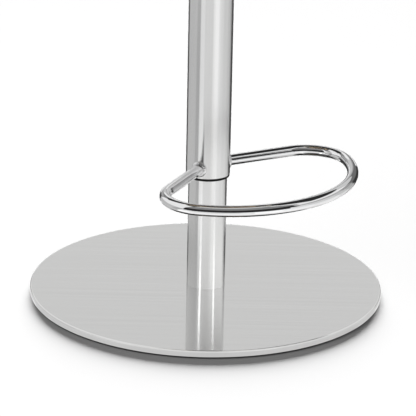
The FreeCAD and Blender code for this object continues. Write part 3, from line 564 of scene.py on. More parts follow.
# Swivel bearing: two turned and hardened steel races, with twelve ground balls in a pressed and plated
# cage. It lies between the column's plug and the gas spring's rod.

dress(turned_steel, "bearing_lower_race", "bearing_upper_race")
hard_steel = grained_finish(
    "ground_steel", dark=(0.6,) * 3, light=(0.68,) * 3, smooth=0.08, rough=0.16, scale=600, depth=1e-7,
    Metallic=1.0,
)
dress(hard_steel, "bearing_balls")
dress(zinc, "bearing_cage")

# Gas spring: a black pressure tube with a taper at its top, sliding on a ground rod. It holds a
# cylinder, a piston with its ring, a guide with its seal, and the valve.

turned_alloy, _, _ = brushed_finish(
    "turned_alloy", dark=(0.62, 0.63, 0.64), light=(0.74, 0.75, 0.76), smooth=0.24, rough=0.38,
    stretch=(40, 40, 2400), turn=0, depth=2e-6,
)
dress(hard_steel, "piston_rod", "valve_pin")
dress(zinc, "rod_washer", "rod_clip")
dress(rubber, "bump_stop", "rod_seal")
dress(turned_alloy, "piston", "rod_guide", "valve_body", "inner_cylinder")
dress(black_plastic, "piston_ring")
dress(black_paint, "pressure_tube")

# Upper tube: 50.8 mm chromed tube that slides over the lower one. A black plastic bush in its lower
# end glides on the chrome, its lip showing as a line, and a steel plug wedges its top on the gas spring.

SLEEVE_RADIUS = 25.4
SLEEVE_BORE = 23.9
SLEEVE_FOOT = 145.1
SLEEVE_TOP = 478.1
SLEEVE_EDGE = 0.6
BUSH_BORE = 22.375
BUSH_BODY = 23.85
BUSH_LIP = 25.0
BUSH_FOOT = 142.4
BUSH_TOP = 177.1
BUSH_EDGE = 0.3

sleeve_bm = turned([
    (SLEEVE_BORE, SLEEVE_FOOT, 0), (SLEEVE_RADIUS, SLEEVE_FOOT, SLEEVE_EDGE),
    (SLEEVE_RADIUS, SLEEVE_TOP, SLEEVE_EDGE), (SLEEVE_BORE, SLEEVE_TOP, 0),
])
add_piece("upper_tube", sleeve_bm, "carriage", [chrome_tube], ["sleeve_tube"])
bush_bm = turned([
    (BUSH_BORE, BUSH_FOOT, 0), (BUSH_LIP, BUSH_FOOT, BUSH_EDGE), (BUSH_LIP, SLEEVE_FOOT, 0),
    (BUSH_BODY, SLEEVE_FOOT, 0), (BUSH_BODY, BUSH_TOP, 0), (BUSH_BORE, BUSH_TOP, 0),
])
# The bush's plastic is darker and duller than the other black plastic: partly its own black, partly painted
# shade of the gap under the upper tube's end.
glide_plastic_and_shade = grained_finish(
    "glide_plastic_and_shade", dark=(0.006,) * 3, light=(0.01,) * 3, smooth=0.62, rough=0.75, scale=2600,
    depth=0.00003, Specular_IOR_Level=0.12,
)
add_piece("glide_bush", bush_bm, "carriage", [glide_plastic_and_shade], ["sleeve_glide_bush"])
dress(turned_steel, "sleeve_top_plug")

# Footrest: one 12.7 mm steel tube, bent twice round a former and once in a long bow, chrome plated
# after both its coped ends are welded to the upper tube.

BAR_STEPS = 40
FOOTREST_RADIUS = 6.35
FOOTREST_HEIGHT = 156.6
FOOTREST_REACH = 172.0
BOW_RADIUS = 148.0
BEND_RADIUS = 46.0
ARM_ANGLE = math.radians(70.8)
ARM_ROOT = 24.5
BEND_STEPS = 36
BOW_STEPS = 72

chrome = grained_finish(
    "chrome_plate", dark=(0.74, 0.74, 0.745), light=(0.79, 0.79, 0.795), smooth=0.025, rough=0.06, scale=260,
    depth=1e-7, Metallic=1.0,
)


def only_points(parts):
    """The points among the parts of a mesh that an operator gives back."""
    return [part for part in parts if isinstance(part, bmesh.types.BMVert)]


def only_edges(parts):
    """The edges among the parts of a mesh that an operator gives back."""
    return [part for part in parts if isinstance(part, bmesh.types.BMEdge)]


def start_bar(bm, radius, place, along, steps=BAR_STEPS):
    """The open round end of a bar, from which it is drawn out; gives the end's edges."""
    facing = Matrix.Translation(place) @ along.to_track_quat("Z", "Y").to_matrix().to_4x4()
    bmesh.ops.create_circle(bm, cap_ends=False, radius=radius, segments=steps, matrix=facing)
    return bm.edges[:]


def run_bar(bm, end, move):
    """Draw a bar's end out straight."""
    drawn = bmesh.ops.extrude_edge_only(bm, edges=end)["geom"]
    moved = only_points(drawn)
    bmesh.ops.translate(bm, verts=moved, vec=move)
    return [edge for edge in only_edges(drawn) if set(edge.verts) <= set(moved)]


def bend_bar(bm, end, centre, axis, angle, steps):
    """Draw a bar's end out round a bend."""
    corners = list({corner for edge in end for corner in edge.verts})
    bent = bmesh.ops.spin(bm, geom=corners + end, cent=centre, axis=axis, angle=angle, steps=steps)
    return only_edges(bent["geom_last"])


def close_bar(bm):
    """Cap a bar's two ends."""
    bmesh.ops.holes_fill(bm, edges=[edge for edge in bm.edges if edge.is_boundary], sides=0)
    bmesh.ops.recalc_face_normals(bm, faces=bm.faces)


bow_centre = Vector((0, BOW_RADIUS - FOOTREST_REACH, FOOTREST_HEIGHT))
arm_out = Vector((math.sin(ARM_ANGLE), -math.cos(ARM_ANGLE), 0))
arm_forward = Vector((-math.cos(ARM_ANGLE), -math.sin(ARM_ANGLE), 0))
arm_level = Vector((0, 0, FOOTREST_HEIGHT))
# The bend touches the arm on one side and the bow, from inside, on the other
from_bow = arm_level + arm_forward * BEND_RADIUS - bow_centre
halfway = from_bow.dot(arm_out)
gap = from_bow.length_squared - (BOW_RADIUS - BEND_RADIUS) ** 2
arm_length = -halfway + math.sqrt(halfway ** 2 - gap)
bend_centre = arm_level + arm_out * arm_length + arm_forward * BEND_RADIUS
bow_turn = (bend_centre - bow_centre).angle(Vector((0, -1, 0)))
bend_turn = math.pi / 2 + ARM_ANGLE - bow_turn

DOWN = Vector((0, 0, -1))
mirrored_centre = Vector((-bend_centre.x, bend_centre.y, bend_centre.z))
arm_in = Vector((arm_out.x, -arm_out.y, 0))
arm_root = arm_level + arm_out * ARM_ROOT
arm_run = (arm_length - ARM_ROOT) * MM

footrest_bm = bmesh.new()
bar_end = start_bar(footrest_bm, FOOTREST_RADIUS * MM, arm_root * MM, arm_out)
bar_end = run_bar(footrest_bm, bar_end, arm_out * arm_run)
bar_end = bend_bar(footrest_bm, bar_end, bend_centre * MM, DOWN, bend_turn, BEND_STEPS)
bar_end = bend_bar(footrest_bm, bar_end, bow_centre * MM, DOWN, 2 * bow_turn, BOW_STEPS)
bar_end = bend_bar(footrest_bm, bar_end, mirrored_centre * MM, DOWN, bend_turn, BEND_STEPS)
run_bar(footrest_bm, bar_end, arm_in * arm_run)
close_bar(footrest_bm)
footrest = add_piece("footrest_loop", footrest_bm, "carriage", [chrome], ["footrest_bar"])

# Footrest welds: a fillet bead round each end of the bar, laid in overlapping ripples and chromed
# with the rest.

BEAD_RADIUS = 2.0
BEAD_SET = 0.7
BEAD_RIPPLE = 0.1
BEAD_RIPPLES = 22
BEAD_STEPS = 176
BEAD_SECTION_STEPS = 14


def weld_bead(side):
    """A rippled bead round one end of the bar, fitted to the upper tube's round face."""
    bm = bmesh.new()
    ring_radius = FOOTREST_RADIUS + BEAD_SET
    beside = Matrix.Translation((ring_radius, 0, 0)) @ Matrix.Rotation(math.pi / 2, 4, "X")
    bmesh.ops.create_circle(bm, radius=BEAD_RADIUS, segments=BEAD_SECTION_STEPS, matrix=beside)
    full_turn(bm, BEAD_STEPS)
    bmesh.ops.recalc_face_normals(bm, faces=bm.faces)
    for point in bm.verts:
        round_bar = math.atan2(point.co.y, point.co.x)
        middle = Vector((math.cos(round_bar), math.sin(round_bar), 0)) * ring_radius
        swell = 1 + BEAD_RIPPLE * abs(math.sin(BEAD_RIPPLES * round_bar / 2))
        point.co = middle + (point.co - middle) * swell
        point.co.z += math.sqrt(SLEEVE_RADIUS ** 2 - point.co.y ** 2) + BEAD_SET
    outward = Vector((side * arm_out.x, arm_out.y, 0))
    across = Vector((0, 0, 1)).cross(outward)
    turn_out = Matrix((Vector((0, 0, 1)), across, outward)).transposed().to_4x4()
    place = Matrix.Scale(MM, 4) @ Matrix.Translation(arm_level) @ turn_out
    bmesh.ops.transform(bm, verts=bm.verts, matrix=place)
    bmesh.ops.recalc_face_normals(bm, faces=bm.faces)
    return bm


for side, hand in ((1, "right"), (-1, "left")):
    replaced = ["footrest_welds"] if side == 1 else []
    weld = add_piece("footrest_weld_" + hand, weld_bead(side), "carriage", [chrome], replaced)
    all_but_footrest.objects.link(weld)
all_but_footrest.objects.link(footrest)
for piece in all_but_footrest.collection_objects:
    piece.light_linking.link_state = "EXCLUDE"

# Seat mechanism: a pressed steel pan with a flange that is screwed to the seat, and a turned socket that
# is welded through its floor and wedges on the gas spring's taper. Both are painted.

PAN_HALF = 55.0
PAN_FLOOR = 500.1
PAN_FLANGE = 536.6
PAN_FLANGE_OUT = 25.0
PAN_WALL = 2.5
PAN_CORNER = 14.0
PAN_CORNER_STEPS = 10
PAN_FOOT_BEND = 5.0
PAN_FOOT_STEPS = 5
PAN_FLANGE_BEND = 3.0
PAN_FLANGE_STEPS = 4
PAN_SLOT_HALF = 6.0
PAN_SLOT_LOW = 518.6
PAN_SLOT_HIGH = 535.6
PRESSED_EDGE = 0.5
EDGE_STEPS = 2
FLAT = math.radians(1)
SAME_CORNER = 1e-6
SOCKET_RADIUS = 19.0
SOCKET_EDGE = 0.8
SOCKET_WELD = 3.0
SOCKET_WELD_BELLY = 0.6 * SOCKET_WELD
SOCKET_WELD_EDGE = 0.4


def sharp_edges(bm):
    """The edges at which a mesh turns sharply."""
    return [edge for edge in bm.edges if edge.calc_face_angle(0) > SHARP]


def round_edges(bm, edges, rounding, steps):
    """Round off these edges of a mesh, by a size in mm."""
    bmesh.ops.bevel(
        bm, geom=edges, offset=rounding * MM, offset_type="OFFSET", affect="EDGES", segments=steps,
        profile=0.5, material=-1,
    )


def pressed_pan():
    """The pan's outer skin: a box with rounded corners and foot, a flange bent out, and the lever's slot."""
    bm = bmesh.new()
    place = Matrix.Translation((0, 0, (PAN_FLOOR + PAN_FLANGE) / 2 * MM))
    size = Matrix.Diagonal((2 * PAN_HALF * MM, 2 * PAN_HALF * MM, (PAN_FLANGE - PAN_FLOOR) * MM, 1))
    bmesh.ops.create_cube(bm, size=1, matrix=place @ size)
    lid = [face for face in bm.faces if face.normal.z > LEVEL_NORMAL]
    bmesh.ops.delete(bm, geom=lid, context="FACES_ONLY")
    upright = [edge for edge in bm.edges if abs(edge.verts[0].co.z - edge.verts[1].co.z) > MM]
    round_edges(bm, upright, PAN_CORNER, PAN_CORNER_STEPS)
    round_edges(bm, sharp_edges(bm), PAN_FOOT_BEND, PAN_FOOT_STEPS)
    brim = [edge for edge in bm.edges if edge.is_boundary]
    drawn = bmesh.ops.extrude_edge_only(bm, edges=brim)["geom"]
    for point in only_points(drawn):
        point.co.x += math.copysign(PAN_FLANGE_OUT * MM, point.co.x)
        point.co.y += math.copysign(PAN_FLANGE_OUT * MM, point.co.y)
    bmesh.ops.recalc_face_normals(bm, faces=bm.faces)
    round_edges(bm, brim, PAN_FLANGE_BEND, PAN_FLANGE_STEPS)
    for cut, across in (
        ((0, -PAN_SLOT_HALF, 0), (0, 1, 0)), ((0, PAN_SLOT_HALF, 0), (0, 1, 0)),
        ((0, 0, PAN_SLOT_LOW), (0, 0, 1)), ((0, 0, PAN_SLOT_HIGH), (0, 0, 1)),
    ):
        wall = [face for face in bm.faces if face.calc_center_median().x < -(PAN_HALF - PAN_WALL) * MM]
        around = {part for face in wall for part in (face, *face.edges, *face.verts)}
        bmesh.ops.bisect_plane(bm, geom=list(around), plane_co=Vector(cut) * MM, plane_no=across)
    slot = []
    for face in bm.faces:
        middle = face.calc_center_median() / MM
        if middle.x < 0 and abs(middle.y) < PAN_SLOT_HALF and PAN_SLOT_LOW < middle.z < PAN_SLOT_HIGH:
            slot.append(face)
    bmesh.ops.delete(bm, geom=slot, context="FACES")
    return bm


def softened(node, rounding):
    """A merged copy of a shape from the frame, with its sharp edges rounded off."""
    bm = bmesh.new()
    bm.from_mesh(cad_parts[node].data)
    bmesh.ops.remove_doubles(bm, verts=bm.verts, dist=SAME_CORNER)
    bmesh.ops.dissolve_limit(bm, angle_limit=FLAT, verts=bm.verts, edges=bm.edges)
    round_edges(bm, sharp_edges(bm), rounding, EDGE_STEPS)
    return bm


def add_wall(piece, thickness):
    """Give a piece's skin a wall inwards, by a thickness in mm."""
    wall = piece.modifiers.new("wall", "SOLIDIFY")
    wall.thickness = thickness * MM
    wall.offset = -1


pan = add_piece("pressed_pan", pressed_pan(), "carriage", [black_paint], ["mechanism_pan"])
add_wall(pan, PAN_WALL)
pan_edge = pan.modifiers.new("edge", "BEVEL")
pan_edge.width = PRESSED_EDGE * MM
pan_edge.segments = EDGE_STEPS
pan_edge.angle_limit = SHARP
socket_bm = softened("taper_socket", SOCKET_EDGE)
add_piece("socket", socket_bm, "carriage", [black_paint], ["taper_socket"])
socket_weld_bm = turned([
    (SOCKET_RADIUS, PAN_FLOOR, 0), (SOCKET_RADIUS, PAN_FLOOR - SOCKET_WELD, 0),
    (SOCKET_RADIUS + SOCKET_WELD_BELLY, PAN_FLOOR - SOCKET_WELD_BELLY, SOCKET_WELD_EDGE),
    (SOCKET_RADIUS + SOCKET_WELD, PAN_FLOOR, 0),
])
add_piece("socket_weld", socket_weld_bm, "carriage", [black_paint])

# Lever bracket and pivot pin: a folded steel clip, spot-welded to the pan's floor, and a zinc-plated pin
# that is riveted over at both its ends.

PIVOT_EDGE = 0.4

clip_bm = softened("lever_bracket", PIVOT_EDGE)
add_piece("pivot_clip", clip_bm, "carriage", [black_paint], ["lever_bracket"])
rivet_bm = softened("lever_pivot_pin", PIVOT_EDGE)
add_piece("pivot_rivet", rivet_bm, "carriage", [zinc], ["lever_pivot_pin"])

# Lever: a 10 mm steel rod, bent once and chrome plated. It swings on the pin, and its tail presses the
# valve. The grip is moulded in black plastic with ringed grooves, and pushed on its outer end.

LEVER_RADIUS = 5.0
LEVER_HEIGHT = 526.1
LEVER_TAIL = 8.0
LEVER_BEND_AT = 42.0
LEVER_BEND_RADIUS = 40.0
LEVER_BEND_STEPS = 10
LEVER_DROOP = math.radians(14)
LEVER_REACH = 182.0
LEVER_EDGE = 0.7
LEVER_EDGE_STEPS = 3
GRIP_STEPS = 64
GRIP_LENGTH = 64.0
GRIP_ROOT = 7.5
GRIP_SWELL = 2.0
GRIP_BORE = 5.05
GRIP_END_WALL = 8.0
GRIP_NOSE = 5.0
GRIP_TIP_ROUND = 4.5
GRIP_LIP = 0.6
GROOVES = 7
GROOVE_FIRST = 12.0
GROOVE_PITCH = 5.6
GROOVE_HALF = 1.1
GROOVE_DEPTH = 0.7
GROOVE_EDGE = 0.12

lever_along = Vector((-math.cos(LEVER_DROOP), 0, -math.sin(LEVER_DROOP)))
lever_centre = Vector((-LEVER_BEND_AT, 0, LEVER_HEIGHT - LEVER_BEND_RADIUS))
lever_bent = lever_centre + Vector((-math.sin(LEVER_DROOP), 0, math.cos(LEVER_DROOP))) * LEVER_BEND_RADIUS
lever_tip = lever_bent + lever_along * (LEVER_REACH + lever_bent.x) / math.cos(LEVER_DROOP)
lever_run = (lever_tip - lever_bent).length - GRIP_END_WALL

lever_bm = bmesh.new()
lever_tail = Vector((LEVER_TAIL, 0, LEVER_HEIGHT))
bar_end = start_bar(lever_bm, LEVER_RADIUS * MM, lever_tail * MM, Vector((-1, 0, 0)))
bar_end = run_bar(lever_bm, bar_end, Vector((-LEVER_TAIL - LEVER_BEND_AT, 0, 0)) * MM)
bar_end = bend_bar(lever_bm, bar_end, lever_centre * MM, Vector((0, -1, 0)), LEVER_DROOP, LEVER_BEND_STEPS)
run_bar(lever_bm, bar_end, lever_along * lever_run * MM)
close_bar(lever_bm)
round_edges(lever_bm, sharp_edges(lever_bm), LEVER_EDGE, LEVER_EDGE_STEPS)
add_piece("lever_bar", lever_bm, "lever", [chrome], ["lever_rod"])

grip_shoulder = GRIP_LENGTH - GRIP_NOSE
swell_radius = ((grip_shoulder / 2) ** 2 + GRIP_SWELL ** 2) / (2 * GRIP_SWELL)


def grip_radius(along):
    """The grip's swelling radius at a distance from its foot."""
    from_middle = along - grip_shoulder / 2
    return GRIP_ROOT + GRIP_SWELL - swell_radius + math.sqrt(swell_radius ** 2 - from_middle ** 2)


grip_outline = [(0, GRIP_LENGTH - GRIP_END_WALL, 0), (GRIP_BORE, GRIP_LENGTH - GRIP_END_WALL, 0)]
grip_outline += [(GRIP_BORE, 0, 0), (GRIP_ROOT, 0, GRIP_LIP)]
groove = [
    (-GROOVE_HALF, 0), (-GROOVE_HALF / 2, GROOVE_DEPTH), (GROOVE_HALF / 2, GROOVE_DEPTH), (GROOVE_HALF, 0),
]
for count in range(GROOVES):
    middle = GROOVE_FIRST + GROOVE_PITCH * count
    for step, depth in groove:
        grip_outline.append((grip_radius(middle + step) - depth, middle + step, GROOVE_EDGE))
grip_outline += [(grip_radius(grip_shoulder), grip_shoulder, 0), (GRIP_ROOT, GRIP_LENGTH, GRIP_TIP_ROUND)]
grip_outline += [(0, GRIP_LENGTH, 0)]
grip_bm = turned(grip_outline, steps=GRIP_STEPS, closed=False)
lie_along = Matrix.Rotation(-math.pi / 2 - LEVER_DROOP, 4, "Y")
grip_foot = (lever_tip - lever_along * GRIP_LENGTH) * MM
bmesh.ops.transform(grip_bm, verts=grip_bm.verts, matrix=Matrix.Translation(grip_foot) @ lie_along)
add_piece("grip", grip_bm, "lever", [black_plastic], ["lever_grip"])

# Seat board: 12 mm birch plywood, with four steel tee nuts let into its top. Four hexagon screws with
# washers come up through the pan's flange.

HEX_EDGE = 0.35

plywood, _, _ = brushed_finish(
    "birch_plywood", dark=(0.5, 0.34, 0.19), light=(0.66, 0.48, 0.29), smooth=0.55, rough=0.7,
    stretch=(14, 320, 320), turn=0.0, depth=2e-5, Metallic=0.0,
)
dress(plywood, "seat_board")
dress(zinc, "tee_nuts", "seat_washers")
screws_bm = softened("seat_screws", HEX_EDGE)
add_piece("hex_screws", screws_bm, "carriage", [zinc], ["seat_screws"])

# Seat foam: moulded polyurethane foam, glued on the board. Its side is drawn in at the foot and at the
# seam, and its top is crowned.

FOAM_GAP = 3.6
PAD_FOOT = (166.5, 551.1)
PAD_SIDE = (179.5, 573.1)
PAD_SEAM = (175.06, 596.16)
PAD_ROUND = (159.55, 608.14)
PAD_SHOULDER = (140.0, 609.6)
PAD_CROWN = (70.0, 614.85)
PAD_TOP = (0.0, 616.6)
BOARD_TOP = 551.1
PAD_FREE = 20.0
BOW_POINTS = 10


def bowed(first, middle, last):
    """Points along a bow through three points, without its last one."""
    points = []
    for count in range(BOW_POINTS):
        share = count / BOW_POINTS
        ends = Vector(first) * (1 - share) + Vector(last) * share
        bow = (Vector(middle) - (Vector(first) + Vector(last)) / 2) * 4 * share * (1 - share)
        points.append(ends + bow)
    return points


def clear_of_board(height):
    """From 0 at the board's top to 1 a little above it; the height is in mm."""
    return min(max((height - BOARD_TOP) / PAD_FREE, 0), 1)


def pad_outline(gap):
    """The pad's section from the crown's middle to its foot, set in by a gap that closes at the board."""
    points = bowed(PAD_TOP, PAD_CROWN, PAD_SHOULDER) + bowed(PAD_SHOULDER, PAD_ROUND, PAD_SEAM)
    points += bowed(PAD_SEAM, PAD_SIDE, PAD_FOOT) + [Vector(PAD_FOOT)]
    outline = []
    for point in points:
        inset = gap * clear_of_board(point.y)
        outline.append((max(point.x - inset, 0), point.y - inset, 0))
    return outline


foam_finish = grained_finish(
    "seat_foam", dark=(0.7, 0.62, 0.4), light=(0.78, 0.7, 0.48), smooth=0.85, rough=0.95, scale=1500,
    depth=0.0003,
)
foam_bm = turned(pad_outline(FOAM_GAP) + [(0, BOARD_TOP, 0)], closed=False)
foam = add_piece("foam_pad", foam_bm, "carriage", [foam_finish], ["seat_foam"])

# Seat cover: cream leatherette, a round top and a side band sewn together over piping. It is drawn tight
# over the foam and stapled under the board, so it swells between its seam and its hem.

COVER_VOXEL = 4.5
COVER_SET_IN = 1.2
COVER_PRESSURE = 4.0
COVER_FRAMES = 20
COVER_SMOOTHINGS = 2
COVER_SWELL = 2.6
COVER_THICK = 1.2
COVER_CUT = 549.0
SEAM_HELD = 3.2
HEM_RADIUS = 133.0
HEM_HEIGHT = 537.9
HEM_FOLDS = 46
HEM_FOLD_DEPTH = 0.4
PUCKERS = (58, 83, 131)
PUCKER_DEPTH = 0.32
PUCKER_REACH = 11.0
SLACK_DEPTH = 0.8
SLACK_SIZE = 55.0
PEBBLE_SCALE = 620.0
PEBBLE_WARP = 0.0025
PEBBLE_DEPTH = 0.00022
PATINA_SHARE = 0.6
# The radius and height of each row of the hem, down the board's edge and in under it
HEM_ROWS = [
    (PAD_FOOT[0], BOARD_TOP - 6), (PAD_FOOT[0], HEM_HEIGHT + 2.2), (PAD_FOOT[0] - 0.4, HEM_HEIGHT + 0.9),
    (PAD_FOOT[0] - 1.6, HEM_HEIGHT), (PAD_FOOT[0] - 5, HEM_HEIGHT), (PAD_FOOT[0] - 12, HEM_HEIGHT),
    (HEM_RADIUS, HEM_HEIGHT),
]


def evaluated(form):
    """The mesh that an object has with its modifiers."""
    seen = form.evaluated_get(bpy.context.evaluated_depsgraph_get())
    return bpy.data.meshes.new_from_object(seen)


def from_seam(place):
    """How far a point, in metres, is from the seam's circle, in mm."""
    return math.hypot(math.hypot(place.x, place.y) / MM - PAD_SEAM[0], place.z / MM - PAD_SEAM[1])


def swollen_cover():
    """The cover's skin, remeshed evenly and blown up between its seam and its hem."""
    outline = pad_outline(COVER_SET_IN) + [(PAD_FOOT[0], HEM_HEIGHT, 0), (0, HEM_HEIGHT, 0)]
    form = add_mesh("cover_form", turned(outline, closed=False))
    even = form.modifiers.new("even", "REMESH")
    even.mode = "VOXEL"
    even.voxel_size = COVER_VOXEL * MM
    start = evaluated(form)
    form.modifiers.clear()
    form.data = start
    held = form.vertex_groups.new(name="held")
    for point in start.vertices:
        if from_seam(point.co) < SEAM_HELD or point.co.z < (BOARD_TOP + COVER_VOXEL) * MM:
            held.add([point.index], 1.0, "REPLACE")
    cloth = form.modifiers.new("cloth", "CLOTH")
    cloth.settings.vertex_group_mass = held.name
    cloth.settings.use_pressure = True
    cloth.settings.uniform_pressure_force = COVER_PRESSURE
    cloth.settings.effector_weights.gravity = 0
    cloth.point_cache.frame_end = COVER_FRAMES
    for number in range(1, COVER_FRAMES + 1):
        bpy.context.scene.frame_set(number)
    blown = evaluated(form)
    form.modifiers.clear()
    bpy.context.scene.frame_set(1)
    for point, before in zip(blown.vertices, start.vertices):
        rise = (point.co - before.co).dot(before.normal)
        point.co = before.co + before.normal * min(max(rise, 0), COVER_SWELL * MM)
    bpy.data.objects.remove(form)
    return blown


cover_skin = bmesh.new()
cover_skin.from_mesh(swollen_cover())
free = [point for point in cover_skin.verts if from_seam(point.co) > SEAM_HELD]
for count in range(COVER_SMOOTHINGS):
    bmesh.ops.smooth_vert(
        cover_skin, verts=free, factor=0.5, use_axis_x=True, use_axis_y=True, use_axis_z=True
    )
cover_skin.normal_update()
for point in cover_skin.verts:
    turn = math.atan2(point.co.y, point.co.x)
    gathers = sum(math.sin(number * turn + number) for number in PUCKERS)
    near = math.exp(-(from_seam(point.co) / PUCKER_REACH) ** 2)
    slack = noise.noise(point.co / (SLACK_SIZE * MM)) * (1 - near) * clear_of_board(point.co.z / MM)
    point.co += point.normal * (gathers * near * PUCKER_DEPTH + slack * SLACK_DEPTH) * MM
everything = cover_skin.verts[:] + cover_skin.edges[:] + cover_skin.faces[:]
bmesh.ops.bisect_plane(
    cover_skin, geom=everything, plane_co=(0, 0, COVER_CUT * MM), plane_no=(0, 0, 1), clear_inner=True
)
hem = [edge for edge in cover_skin.edges if edge.is_boundary]
for radius, height in HEM_ROWS:
    drawn = bmesh.ops.extrude_edge_only(cover_skin, edges=hem)["geom"]
    for point in only_points(drawn):
        turn = math.atan2(point.co.y, point.co.x)
        fold = HEM_FOLD_DEPTH * math.sin(HEM_FOLDS * turn) if height == HEM_HEIGHT else 0
        point.co = Vector((radius * math.cos(turn), radius * math.sin(turn), height + fold)) * MM
    hem = [edge for edge in only_edges(drawn) if edge.is_boundary]
bmesh.ops.recalc_face_normals(cover_skin, faces=cover_skin.faces)

leatherette, leather_tree, leather_shader = new_finish("cream_leatherette", Specular_IOR_Level=0.4)
leather_place = add_node(leather_tree, "TexCoord").outputs["Object"]
pebble_warp = add_noise(leather_tree, leather_place, scale=260.0, detail=2.0)
warp = [(0, PEBBLE_WARP), (4, leather_place), (5, pebble_warp.outputs["Color"])]
warped = add_node(leather_tree, "Mix", warp, data_type="VECTOR")
pebbling = [("Vector", warped.outputs[1]), ("Scale", PEBBLE_SCALE), ("Smoothness", 0.6)]
pebbles = add_node(leather_tree, "TexVoronoi", pebbling, feature="SMOOTH_F1").outputs["Distance"]
patina = add_noise(leather_tree, leather_place, scale=16.0, detail=5.0)
# The creases between the pebbles are painted darker, a painted shade of the grain's hollows, mixed with
# random patches of tone.
crease_shade = add_node(leather_tree, "MapRange", [("Value", pebbles), ("From Max", 0.8)])
crease_shade_and_patina_inputs = [(0, PATINA_SHARE), (2, crease_shade.outputs["Result"]), (3, patina.outputs["Fac"])]
crease_shade_and_patina = add_node(leather_tree, "Mix", crease_shade_and_patina_inputs)
shade_between(
    leather_tree, leather_shader, crease_shade_and_patina.outputs[0], tones=((0.8, 0.74, 0.64), (0.7, 0.63, 0.52)),
    roughness=(0.36, 0.56),
)
domes = add_node(leather_tree, "MapRange", [("Value", pebbles), ("To Min", 1.0), ("To Max", 0.0)])
add_relief(leather_tree, leather_shader, domes.outputs["Result"], PEBBLE_DEPTH)

cover = add_piece("upholstery", cover_skin, "carriage", [leatherette], ["seat_cover"])
add_wall(cover, COVER_THICK)
cover_smooth = cover.modifiers.new("smooth", "SUBSURF")
cover_smooth.levels = 1
cover_smooth.render_levels = 1

# Piping: a 6 mm cord in a strip of the same leatherette. It is sewn into the seam between the cover's top
# and its side band.

PIPING_CENTRE = (176.69, 597.79)
PIPING_RADIUS = 3.0
PIPING_STEPS = 20
PIPING_RIPPLES = 96
PIPING_RIPPLE = 0.08
PIPING_TURN_STEPS = 384
PIPING_DRIFT = 9
PIPING_DRIFTS = 3

piping_bm = bmesh.new()
piping_centre = Vector((PIPING_CENTRE[0], 0, PIPING_CENTRE[1])) * MM
piping_place = Matrix.Translation(piping_centre) @ Matrix.Rotation(math.pi / 2, 4, "X")
bmesh.ops.create_circle(piping_bm, radius=PIPING_RADIUS * MM, segments=PIPING_STEPS, matrix=piping_place)
full_turn(piping_bm, PIPING_TURN_STEPS)
bmesh.ops.recalc_face_normals(piping_bm, faces=piping_bm.faces)
piping_bm.normal_update()
for point in piping_bm.verts:
    turn = math.atan2(point.co.y, point.co.x)
    drift = PIPING_DRIFT * math.sin(PIPING_DRIFTS * turn)
    point.co += point.normal * math.sin(PIPING_RIPPLES * turn + drift) * PIPING_RIPPLE * MM
add_piece("piping", piping_bm, "carriage", [leatherette], ["seat_piping"])

# Stitching: one row of polyester thread round the top, a little inside the piping, through the seam's
# turned edges.

STITCH_RADIUS = 166.0
STITCH_HEIGHT = 620.0
STITCH_PITCH = 4.2
STITCH_HALF = (1.55, 0.42, 0.34)
STITCH_SINK = 0.08
STITCH_SKEW = 0.12
STITCH_SEED = 7
STITCH_SIDES = 8
STITCH_RINGS = 6

thread = grained_finish(
    "cream_thread", dark=(0.66, 0.58, 0.45), light=(0.74, 0.67, 0.54), smooth=0.5, rough=0.65, scale=3000,
    depth=0.00005,
)
cover_mesh = evaluated(cover)
surface = BVHTree.FromPolygons(
    [point.co for point in cover_mesh.vertices], [face.vertices for face in cover_mesh.polygons]
)
bpy.data.meshes.remove(cover_mesh)
draws = random.Random(STITCH_SEED)
stitch_bm = bmesh.new()
stitch_size = Matrix.Diagonal((*(Vector(STITCH_HALF) * MM), 1))
stitches = round(2 * math.pi * STITCH_RADIUS / STITCH_PITCH)
for count in range(stitches):
    turn = 2 * math.pi * count / stitches
    above = Vector((STITCH_RADIUS * math.cos(turn), STITCH_RADIUS * math.sin(turn), STITCH_HEIGHT)) * MM
    place, up, _, _ = surface.ray_cast(above, DOWN)
    along = Vector((-math.sin(turn), math.cos(turn), 0))
    along.rotate(Matrix.Rotation(draws.uniform(-STITCH_SKEW, STITCH_SKEW), 3, up))
    beside = up.cross(along).normalized()
    along = beside.cross(up)
    facing = Matrix((along, beside, up)).transposed().to_4x4()
    where = Matrix.Translation(place - up * STITCH_SINK * MM) @ facing @ stitch_size
    bmesh.ops.create_uvsphere(
        stitch_bm, u_segments=STITCH_SIDES, v_segments=STITCH_RINGS, radius=1, matrix=where
    )
add_piece("stitching", stitch_bm, "carriage", [thread])

# Dust cover: a ring of black spun-bonded cloth, stapled over the hem under the board, with its inner edge
# stapled round the pan.

DUST_INNER = 118.0
DUST_OUTER = 157.0
DUST_HEIGHT = 537.5
DUST_THICK = 0.5
DUST_SAG = 0.5
DUST_HANG = 0.6
DUST_RIPPLE = 0.4
DUST_BANDS = 8
FIBRE_SHARE = 0.5
FIBRE_DEPTH = 0.0002
OUTER_STAPLES = 36
INNER_STAPLES = 24

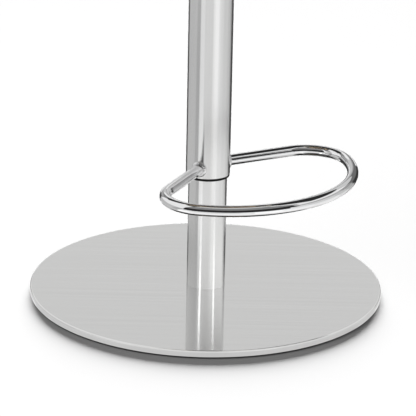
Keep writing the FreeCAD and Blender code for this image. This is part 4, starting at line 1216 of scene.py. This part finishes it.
dust_band = (DUST_OUTER - DUST_INNER) / DUST_BANDS
dust_section = [(DUST_INNER + step * dust_band, DUST_HEIGHT, 0) for step in range(DUST_BANDS + 1)]
dust_bm = turned(dust_section, closed=False)
for point in dust_bm.verts:
    across = (math.hypot(point.co.x, point.co.y) / MM - DUST_INNER) / (DUST_OUTER - DUST_INNER)
    turn = math.atan2(point.co.y, point.co.x)
    hang = math.sin(math.pi * across) * (DUST_HANG + DUST_RIPPLE * math.sin(INNER_STAPLES * turn))
    point.co.z -= hang * DUST_SAG * MM
for face in dust_bm.faces:
    if face.normal.z > 0:
        face.normal_flip()
dust_cloth, dust_tree, dust_shader = new_finish("spun_cloth")
dust_place = add_node(dust_tree, "TexCoord").outputs["Object"]
bonds = add_node(dust_tree, "TexVoronoi", [("Vector", dust_place), ("Scale", 620.0), ("Randomness", 0.15)])
fibres = add_noise(dust_tree, dust_place, scale=900.0, detail=6.0)
bonded = [(0, FIBRE_SHARE), (2, bonds.outputs["Distance"]), (3, fibres.outputs["Fac"])]
weave = add_node(dust_tree, "Mix", bonded).outputs[0]
shade_between(dust_tree, dust_shader, weave, tones=((0.012,) * 3, (0.034,) * 3), roughness=(0.8, 0.95))
add_relief(dust_tree, dust_shader, weave, FIBRE_DEPTH)
dust_sheet = add_piece("under_cloth", dust_bm, "carriage", [dust_cloth], ["dust_cover"])
add_wall(dust_sheet, DUST_THICK)

# Staples: zinc-plated wire staples in two rows. The outer row goes through the cloth and the hem into the
# board, and the inner row through the cloth alone.

STAPLE_WIRE = 0.4
STAPLE_STEPS = 8
STAPLE_HALF = 4.6
STAPLE_BEND = 0.8
STAPLE_BEND_STEPS = 3
STAPLE_LEG = 1.6
STAPLE_HEIGHT = 537.0
STAPLE_INSET = 5.0


def staple_row(radius, staples):
    """One staple, its legs up in the board, and its copies round the seat."""
    bm = bmesh.new()
    bend_height = STAPLE_HEIGHT + STAPLE_BEND
    foot = Vector((radius, -STAPLE_HALF - STAPLE_BEND, bend_height + STAPLE_LEG))
    left = Vector((radius, -STAPLE_HALF, bend_height))
    right = Vector((radius, STAPLE_HALF, bend_height))
    tip = start_bar(bm, STAPLE_WIRE * MM, foot * MM, DOWN, STAPLE_STEPS)
    tip = run_bar(bm, tip, DOWN * STAPLE_LEG * MM)
    tip = bend_bar(bm, tip, left * MM, Vector((1, 0, 0)), math.pi / 2, STAPLE_BEND_STEPS)
    tip = run_bar(bm, tip, (right - left) * MM)
    tip = bend_bar(bm, tip, right * MM, Vector((1, 0, 0)), math.pi / 2, STAPLE_BEND_STEPS)
    run_bar(bm, tip, DOWN * -STAPLE_LEG * MM)
    close_bar(bm)
    whole = bm.verts[:] + bm.edges[:] + bm.faces[:]
    most = 2 * math.pi * (staples - 1) / staples
    bmesh.ops.spin(bm, geom=whole, axis=(0, 0, 1), angle=most, steps=staples - 1, use_duplicate=True)
    return bm


outer_bm = staple_row(DUST_OUTER - STAPLE_INSET, OUTER_STAPLES)
add_piece("outer_staples", outer_bm, "carriage", [zinc])
inner_bm = staple_row(DUST_INNER + STAPLE_INSET, INNER_STAPLES)
add_piece("inner_staples", inner_bm, "carriage", [zinc])
